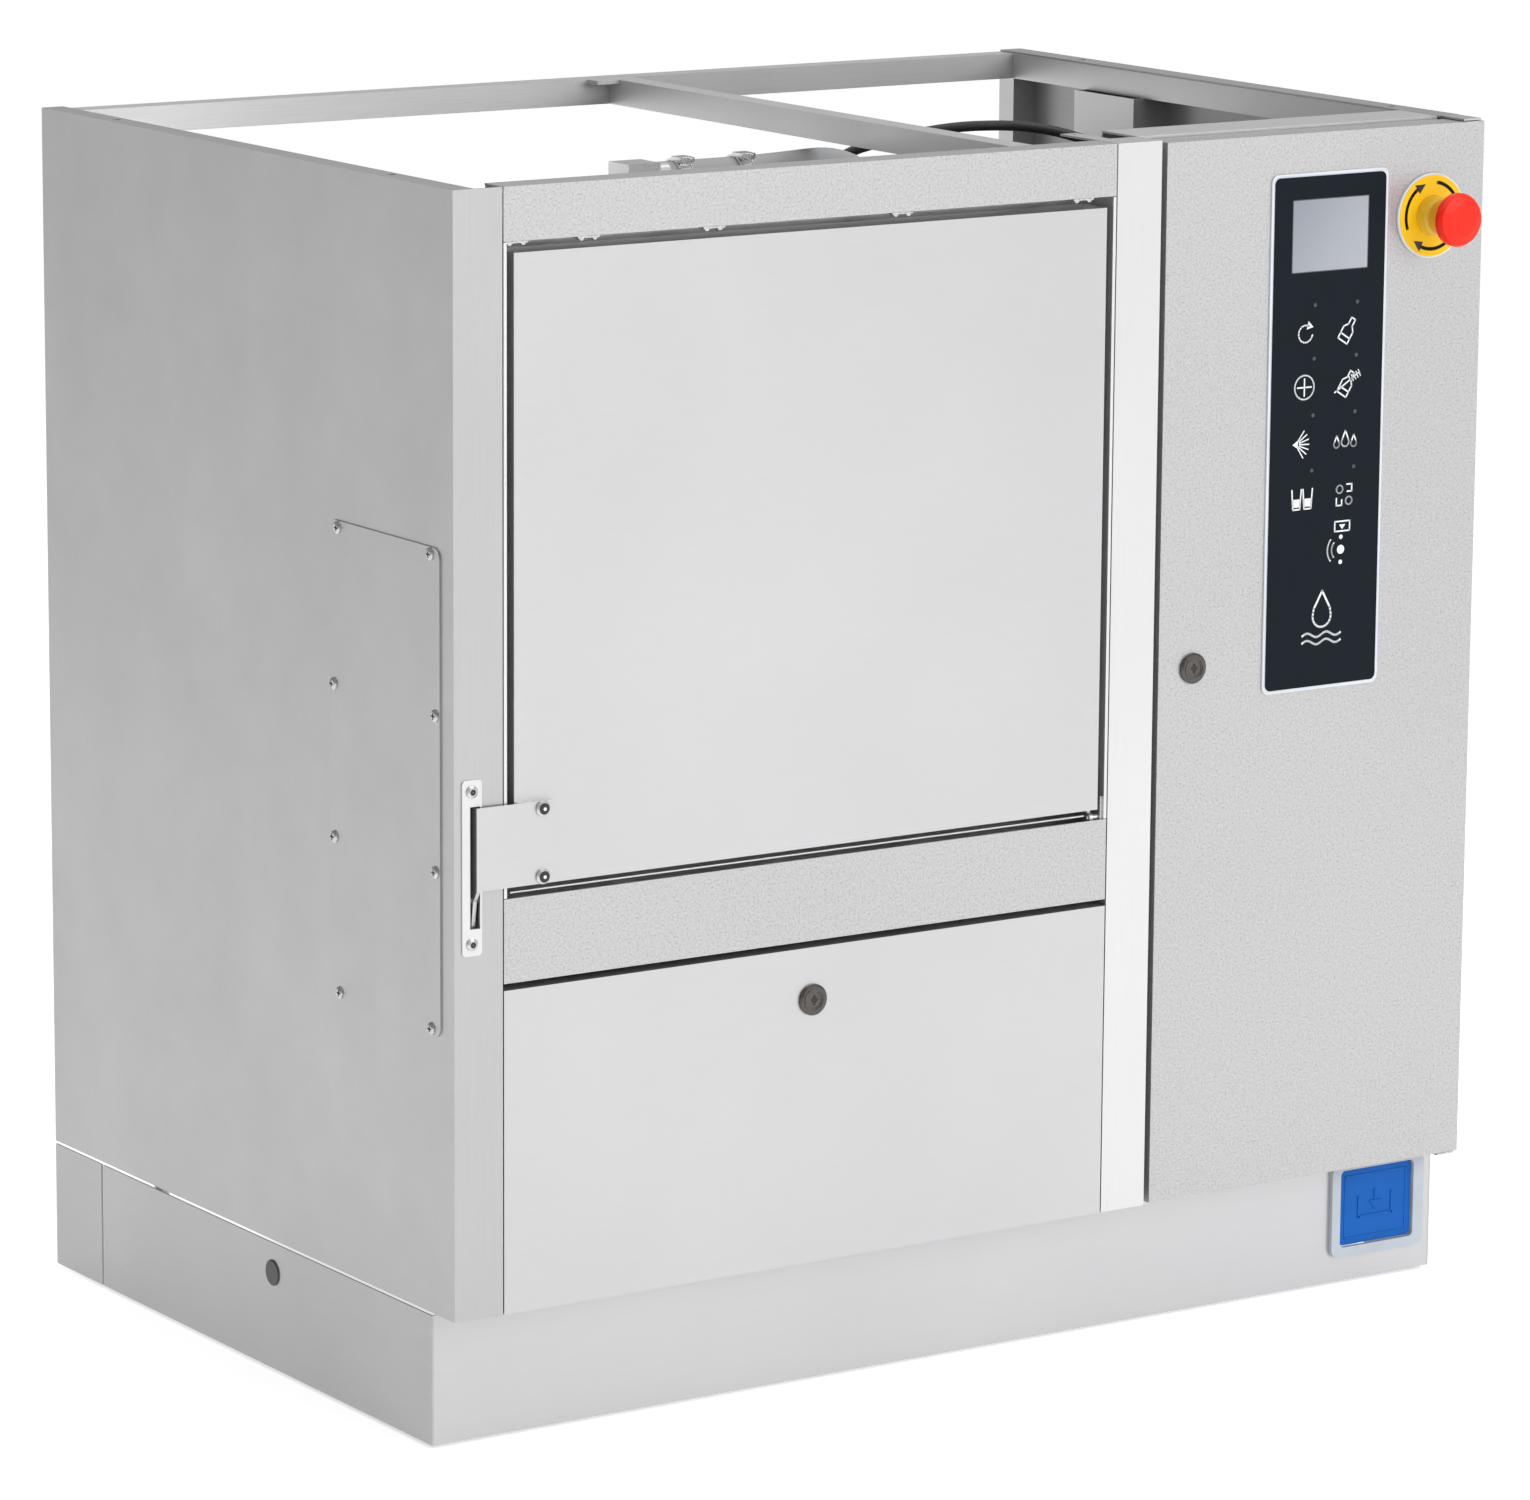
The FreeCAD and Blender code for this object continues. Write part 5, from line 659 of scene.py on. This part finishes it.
def make_brow_clips():
    """Spring clips under the top fascia that show in the slit above the wash door."""
    low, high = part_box("top_fascia")
    clips = bmesh.new()
    for across in CLIP_PLACES:
        x = low.x + across * MM
        for shift in (-5.5, 5.5):
            front_prism(clips, circle_points(x + shift * MM, low.z - 1.2 * MM, 2.2 * MM, 16),
                        low.y + 1.5 * MM, low.y + 7 * MM)
        front_prism(clips, [(x - 9 * MM, low.z - 0.2 * MM), (x + 9 * MM, low.z - 0.2 * MM),
                            (x + 9 * MM, low.z - 1.6 * MM),
                            (x - 9 * MM, low.z - 1.6 * MM)], low.y + 0.8 * MM, low.y + 9 * MM)
    soften(finish_mesh("brow_clips", clips, MATERIALS["fixings"], "cabinet"), 0.3)


def make_lock_details():
    """Turned ring on each cam lock, and a dark square on its cam, painted shade for the keyhole."""
    for name, body, cam_body in (("flap_lock", "service_flap_body", "flap_cam"),
                                 ("control_lock", "control_door_body", "control_cam")):
        low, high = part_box(name)
        x, z = (low.x + high.x) / 2, (low.z + high.z) / 2
        ring = bmesh.new()
        ring_prism(ring, x, z, 8.6 * MM, 7.2 * MM, low.y - 0.5 * MM, low.y + 0.4 * MM, 48)
        soften(finish_mesh(f"{name}_ring", ring, MATERIALS["zinc"], body), 0.2)
        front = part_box(f"{name}_cam")[0].y
        # Painted shade: a flat dark square on the cam's face stands for the keyhole's dark inside.
        keyhole = bmesh.new()
        front_prism(keyhole, circle_points(x, z, 3.4 * MM, 4), front - 0.12 * MM, front + 0.3 * MM)
        finish_mesh(f"{name}_keyhole", keyhole, RECESS_SHADE, cam_body)


def make_sill_strip():
    """Bright strip that shows between the wash door and the fascia under it."""
    low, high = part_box("door_outer_panel")
    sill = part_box("lower_fascia")[1].z
    strip = bmesh.new()
    front_prism(strip, [(low.x, sill + 2.2 * MM), (high.x - 8 * MM, sill + 2.2 * MM),
                        (high.x - 8 * MM, sill + 3.6 * MM),
                        (low.x, sill + 3.6 * MM)], low.y + 5.5 * MM, low.y + 9 * MM)
    soften(finish_mesh("sill_strip", strip, MATERIALS["upright_steel"], "cabinet"), 0.3)


# ---------------------------------------------------------------- details inside the casing

MOTOR_AXIS = Vector((-220 * MM, 40 * MM, 250 * MM))    # where the pump's motor meets its volute
MOTOR_RADIUS = 45 * MM
FIN_COUNT, FIN_START, FIN_PITCH, FIN_THICK, FIN_REACH = 13, 22 * MM, 8.5 * MM, 2.2 * MM, 4 * MM
SINK = 0.5 * MM    # how far an added detail is let into the piece it stands on
ELECTRICS_LEFT, ELECTRICS_FACE, ELECTRICS_BASE = 175 * MM, -120 * MM, 430 * MM
STEAM_HOSE_RADIUS = 13 * MM
SPIGOT_PLACES = (-186 * MM, -114 * MM)    # across, either side of the sump's middle
SUMP_MIDDLE_Y = -55.25 * MM


def frame_along(axis):
    """Two directions square to an axis."""
    axis = Vector(axis).normalized()
    side = axis.cross(Vector((0, 0, 1)))
    if side.length < 1e-3:
        side = Vector((1, 0, 0))
    side.normalize()
    return axis, side, side.cross(axis)


def add_lathe(made, centre, axis, profile, count=32):
    """Closed body of revolution: profile of (radius, distance along the axis)."""
    axis, side, other = frame_along(axis)
    rings = []
    for radius, along in profile:
        middle = Vector(centre) + axis * along
        rings.append([made.verts.new(middle + (side * math.cos(2 * math.pi * step / count)
                                               + other * math.sin(2 * math.pi * step / count)) * radius)
                      for step in range(count)])
    for ring, after in zip(rings, rings[1:] + rings[:1]):
        for step in range(count):
            following = (step + 1) % count
            made.faces.new((ring[step], ring[following], after[following], after[step]))


def add_block(made, low, high):
    """Box between two corners."""
    corners = [made.verts.new((x, y, z)) for x in (low[0], high[0]) for y in (low[1],
        high[1]) for z in (low[2], high[2])]
    for face in ((0, 1, 3, 2), (4, 6, 7, 5), (0, 4, 5, 1), (2, 3, 7, 6), (0, 2, 6, 4), (1, 5, 7, 3)):
        made.faces.new([corners[index] for index in face])


def add_hex_bolt(made, centre, axis, across, rise):
    """Six-sided head that stands on a face."""
    half = across / 2
    add_lathe(made, centre, axis, [(0.0004, 0), (half, 0), (half, rise * 0.8), (half * 0.86, rise),
                                   (0.0004, rise)], 6)


def make_hose_clamps():
    """Worm-drive bands on the steam hose, and plain bands on the sump's two spigots."""
    bands = bmesh.new()
    low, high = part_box("steam_hose")
    radius = STEAM_HOSE_RADIUS
    centre = Vector((low.x + 66 * MM, -10 * MM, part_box("wash_chamber")[1].z - 14 * MM))
    for shift in (0, -54 * MM):
        middle = centre + Vector((shift, 0, 0))
        add_lathe(bands, middle, (1, 0, 0), [(radius + 0.2 * MM, -5.5 * MM), (radius + 1.1 * MM, -5.5 * MM),
                                             (radius + 1.1 * MM, 5.5 * MM),
                                             (radius + 0.2 * MM, 5.5 * MM)], 40)
        for edge in (-5.5, 5.5):
            add_lathe(bands, middle + Vector((edge * MM, 0, 0)), (1, 0, 0),
                      [(radius + 0.2 * MM, -0.6 * MM), (radius + 1.7 * MM, -0.6 * MM),
                       (radius + 1.7 * MM, 0.6 * MM),
                       (radius + 0.2 * MM, 0.6 * MM)], 40)
        house = middle + Vector((0, -7 * MM, radius - 0.5 * MM))
        add_block(bands, house - Vector((6, 7, 0)) * MM, house + Vector((6, 7, 4.2)) * MM)
        add_hex_bolt(bands, house + Vector((0, -7, 1.6)) * MM, (0, -1, 0), 5.4 * MM, 5 * MM)
    sump_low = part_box("wash_chamber")[0]
    for x in SPIGOT_PLACES:
        add_lathe(bands, (x, SUMP_MIDDLE_Y, sump_low.z - 12 * MM), (0, 0, 1),
                  [(14.2 * MM, -5 * MM), (15.2 * MM, -5 * MM), (15.2 * MM, 5 * MM), (14.2 * MM, 5 * MM)],
                  36)
    soften(finish_mesh("hose_clamps", bands, MATERIALS["wire_steel"], "cabinet"), 0.2)


def make_canister_details():
    """Ribbed screw caps, level windows and grip ridges of the detergent canisters."""
    low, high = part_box("detergent_canisters")
    caps = bmesh.new()
    windows = bmesh.new()
    pitch = (high.x - low.x - 130.5 * MM) / 2
    for number in range(3):
        x = low.x + number * pitch
        centre = Vector((x + 40 * MM, low.y + 82.5 * MM, high.z - 18 * MM))
        for step in range(36):
            angle = 2 * math.pi * step / 36
            out = Vector((math.cos(angle), math.sin(angle), 0))
            add_lathe(caps, centre + out * 22 * MM + Vector((0, 0, 2 * MM)), (0, 0, 1),
                      [(0.0003, 0), (1.1 * MM, 0), (1.1 * MM, 12.5 * MM), (0.0003, 13.5 * MM)], 6)
        front_prism(windows, [(x + 100 * MM, low.z + 22 * MM), (x + 108 * MM, low.z + 22 * MM),
                              (x + 108 * MM, low.z + 178 * MM), (x + 100 * MM, low.z + 178 * MM)],
                    low.y - 0.8 * MM, low.y + 0.5 * MM)
        for level in range(7):
            z = low.z + (34 + 22 * level) * MM
            front_prism(windows, [(x + 88 * MM, z), (x + 97 * MM, z), (x + 97 * MM, z + 1.4 * MM),
                                  (x + 88 * MM, z + 1.4 * MM)],
                        low.y - 0.6 * MM, low.y + 0.5 * MM)
    finish_mesh("canister_cap_ribs", caps, MATERIALS["plug_grey"], "cabinet")
    soften(finish_mesh("canister_windows", windows, MATERIALS["drain_plastic"], "cabinet"), 0.3)


def make_electrics_details():
    """Terminal screws, contactor blocks, supply louvres and logic unit terminals."""
    width = 250 * MM
    left, face, base = ELECTRICS_LEFT, ELECTRICS_FACE, ELECTRICS_BASE
    screws, blocks, rail = bmesh.new(), bmesh.new(), bmesh.new()
    for number in range(4):
        x = left + 20 * MM + number * width * 0.21
        span = width * 0.21 * 0.85
        for row, z in enumerate((base + 38 * MM, base + 102 * MM)):
            for column in range(4):
                centre = Vector((x + span * (column + 0.5) / 4, face, z))
                add_lathe(screws, centre, (0, -1, 0), [(0.0003, 0), (3.2 * MM, 0), (3.2 * MM, 0.8 * MM),
                                                       (2.6 * MM, 1.3 * MM),
                                                       (0.0003, 1.3 * MM)], 14)
        add_block(blocks, (x + span * 0.22, face - 4 * MM, base + 56 * MM),
                  (x + span * 0.78, face + 1 * MM, base + 84 * MM))
    for z in (base + 172 * MM, base + 286 * MM):
        for column in range(7):
            centre = Vector((left + (27 + 13 * column) * MM, -110 * MM, z))
            add_lathe(screws, centre, (0, -1, 0), [(0.0003, 0), (3 * MM, 0), (3 * MM, 1 * MM),
                                                   (0.0003, 1 * MM)], 12)
    for row in range(9):
        z = base + (190 + 9 * row) * MM
        add_block(blocks, (left + 32 * MM, -113 * MM, z), (left + 108 * MM, -109.5 * MM, z + 4 * MM))
    for z in (base + 154 * MM, base + 254 * MM):
        for column in range(10):
            x = left + width * 0.56 + (4 + 8.8 * column) * MM
            add_block(rail, (x, -137 * MM, z), (x + 7 * MM, -129.5 * MM, z + 12 * MM))
    finish_mesh("electrics_screws", screws, MATERIALS["fixings"], "cabinet")
    soften(finish_mesh("electrics_blocks", blocks, MATERIALS["pump_plastic"], "cabinet"),
           0.4)
    soften(finish_mesh("logic_terminals", rail, MATERIALS["drive_metal"], "cabinet"), 0.3)


def make_pump_details():
    """Cooling fins, terminal box and bolts of the wash pump, bolts on the steam generator, and screws on
    the dosing pumps' covers.
    """
    fins = bmesh.new()
    root, tip = MOTOR_RADIUS - SINK, MOTOR_RADIUS + FIN_REACH
    for number in range(FIN_COUNT):
        place = MOTOR_AXIS + Vector((FIN_START + FIN_PITCH * number, 0, 0))
        add_lathe(fins, place, (1, 0, 0), [(root, 0), (tip, 0), (tip, FIN_THICK), (root, FIN_THICK)], 48)
    add_block(fins, (-180 * MM, 10 * MM, 290 * MM), (-120 * MM, 66 * MM, 318 * MM))
    soften(finish_mesh("pump_fins", fins, MATERIALS["pump_metal"], "cabinet"), 0.4)
    bolts = bmesh.new()
    for step in range(8):
        angle = 2 * math.pi * (step + 0.5) / 8
        place = MOTOR_AXIS + Vector((0, math.cos(angle), math.sin(angle))) * 50 * MM
        add_hex_bolt(bolts, place, (1, 0, 0), 8 * MM, 5 * MM)
    boiler_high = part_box("steam_generator")[1]
    centre = Vector((boiler_high.x - 80 * MM, boiler_high.y - 80 * MM, boiler_high.z - 8 * MM))
    for step in range(10):
        angle = 2 * math.pi * step / 10
        add_hex_bolt(bolts, centre + Vector((math.cos(angle), math.sin(angle), 0)) * 72 * MM, (0, 0, 1),
                     11 * MM, 6.5 * MM)
    dosing_low, dosing_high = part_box("dosing_pumps")
    for number in range(3):
        x = dosing_low.x + 22 * MM + number * (dosing_high.x - dosing_low.x - 44 * MM) / 2
        z = (dosing_low.z + dosing_high.z) / 2
        for step in range(4):
            angle = math.pi / 4 + step * math.pi / 2
            add_hex_bolt(bolts, (x + 14 * MM * math.cos(angle), dosing_low.y,
                                 z + 14 * MM * math.sin(angle)), (0, -1, 0),
                         4.4 * MM, 1.6 * MM)
    soften(finish_mesh("machine_bolts", bolts, MATERIALS["fixings"], "cabinet"), 0.25)


def make_liner_bead():
    """Pressed bead round the inner face of the wash door."""
    low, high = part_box("door_inner_liner")
    bead = bmesh.new()
    x0, x1, z0, z1 = low.x + 52 * MM, high.x - 52 * MM, low.z + 50 * MM, high.z - 50 * MM
    corner = 22 * MM
    points = []
    for x, z, start in ((x1 - corner, z1 - corner, 0), (x0 + corner, z1 - corner, 90),
                        (x0 + corner, z0 + corner, 180), (x1 - corner, z0 + corner, 270)):
        points += circle_points(x, z, corner, 7, math.radians(start), math.radians(90))
    stroke(bead, points, 5 * MM, high.y - 0.3 * MM, high.y + 1.2 * MM, True)
    soften(finish_mesh("liner_bead", bead, MATERIALS["chamber_steel"], "wash_door"), 0.5)


def make_rear_screws():
    """Screws round the rear sheet and in the casing's corners."""
    low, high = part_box("rear_panel")
    heads = bmesh.new()
    rows = [low.z + 12 * MM + (high.z - low.z - 24 * MM) * step / 5 for step in range(6)]
    places = [(x, z) for x in (low.x + 10 * MM, high.x - 10 * MM) for z in rows]
    places += [(low.x + (high.x - low.x) * step / 6, rows[-1]) for step in range(1, 6)]
    for x, z in places:
        add_lathe(heads, (x, high.y, z), (0, 1, 0), [(0.0003, 0), (4.2 * MM, 0), (4.2 * MM, 0.8 * MM),
                                                     (2.6 * MM, 1.9 * MM),
                                                     (0.0003, 1.9 * MM)], 18)
    finish_mesh("rear_screws", heads, MATERIALS["fixings"], "cabinet")


# ---------------------------------------------------------------- room, light and camera

def make_stage():
    floor = bpy.data.meshes.new("studio_floor")
    reach = 60.0
    floor.from_pydata([(-reach, -reach, 0), (reach, -reach, 0), (reach, reach, 0), (-reach, reach, 0)],
                      [], [(0, 1, 2, 3)])
    piece = bpy.data.objects.new("studio_floor", floor)
    bpy.context.scene.collection.objects.link(piece)
    shader = Shader("studio_white", Roughness=0.9)
    shader.surface.inputs["Base Color"].default_value = (0.93, 0.93, 0.93, 1)
    shader.surface.inputs["Emission Color"].default_value = (1, 1, 1, 1)
    shader.surface.inputs["Emission Strength"].default_value = 0.55
    floor.materials.append(shader.material)


def make_world():
    """Soft studio: bright toward the front right, greyer behind the left side."""
    world = bpy.data.worlds.new("studio")
    bpy.context.scene.world = world
    world.use_nodes = True
    tree = world.node_tree
    background = tree.nodes["Background"]
    where = tree.nodes.new("ShaderNodeTexCoord")
    toward = tree.nodes.new("ShaderNodeVectorMath")
    toward.operation = "DOT_PRODUCT"
    toward.inputs[1].default_value = Vector((0.80, -0.50, 0.33)).normalized()
    ramp = tree.nodes.new("ShaderNodeValToRGB")
    ramp.color_ramp.elements[0].position = 0.0
    ramp.color_ramp.elements[0].color = (0.10, 0.10, 0.104, 1)
    ramp.color_ramp.elements[1].position = 1.0
    ramp.color_ramp.elements[1].color = (0.80, 0.80, 0.80, 1)
    shift = tree.nodes.new("ShaderNodeMapRange")
    shift.inputs["From Min"].default_value = -1.0
    shift.inputs["From Max"].default_value = 0.65
    tree.links.new(where.outputs["Generated"], toward.inputs[0])
    tree.links.new(toward.outputs["Value"], shift.inputs["Value"])
    tree.links.new(shift.outputs["Result"], ramp.inputs["Fac"])
    tree.links.new(ramp.outputs["Color"], background.inputs["Color"])
    background.inputs["Strength"].default_value = 0.80


def area_light(name, at, toward, size, power):
    lamp = bpy.data.lights.new(name, "AREA")
    lamp.shape = "RECTANGLE"
    lamp.size, lamp.size_y = size
    lamp.energy = power
    piece = bpy.data.objects.new(name, lamp)
    piece.location = at
    piece.rotation_euler = (Vector(toward) - Vector(at)).to_track_quat("-Z", "Y").to_euler()
    bpy.context.scene.collection.objects.link(piece)


CAMERA_AT = (-2.889, -4.382, 1.472)
CAMERA_YAW, CAMERA_PITCH, CAMERA_ROLL = 33.45, 11.41, 0.39    # degrees
LENS_MM, SENSOR_MM = 165.06, 36.0


def make_camera():
    """Long lens from the front left, a little above the machine's top."""
    yaw, pitch, roll = (math.radians(angle) for angle in (CAMERA_YAW, CAMERA_PITCH, CAMERA_ROLL))
    forward = Vector((math.sin(yaw) * math.cos(pitch), math.cos(yaw) * math.cos(pitch), -math.sin(pitch)))
    right = Vector((math.cos(yaw), -math.sin(yaw), 0))
    up = right.cross(forward)
    leaned_right = right * math.cos(roll) + up * math.sin(roll)
    leaned_up = up * math.cos(roll) - right * math.sin(roll)
    turn = Matrix((leaned_right, leaned_up, -forward)).transposed()
    data = bpy.data.cameras.new("camera")
    data.sensor_width = SENSOR_MM
    data.lens = LENS_MM
    data.clip_end = 200.0
    camera = bpy.data.objects.new("camera", data)
    camera.matrix_world = Matrix.Translation(CAMERA_AT) @ turn.to_4x4()
    bpy.context.scene.collection.objects.link(camera)
    bpy.context.scene.camera = camera


make_camera()
make_world()
make_stage()
area_light("key_front", (1.6, -4.2, 2.6), (0, 0, 0.5), (3.0, 2.4), 90)
area_light("fill_top", (-0.4, 0.4, 3.6), (0, 0, 0.5), (3.5, 3.5), 50)
dress_cad_nodes()
make_keypad()
make_stop_label()
make_pedal_mark()
make_screw_recesses()
make_brow_clips()
make_lock_details()
make_sill_strip()
make_hose_clamps()
make_canister_details()
make_electrics_details()
make_pump_details()
make_liner_bead()
make_rear_screws()
bpy.context.scene.view_settings.view_transform = "Standard"
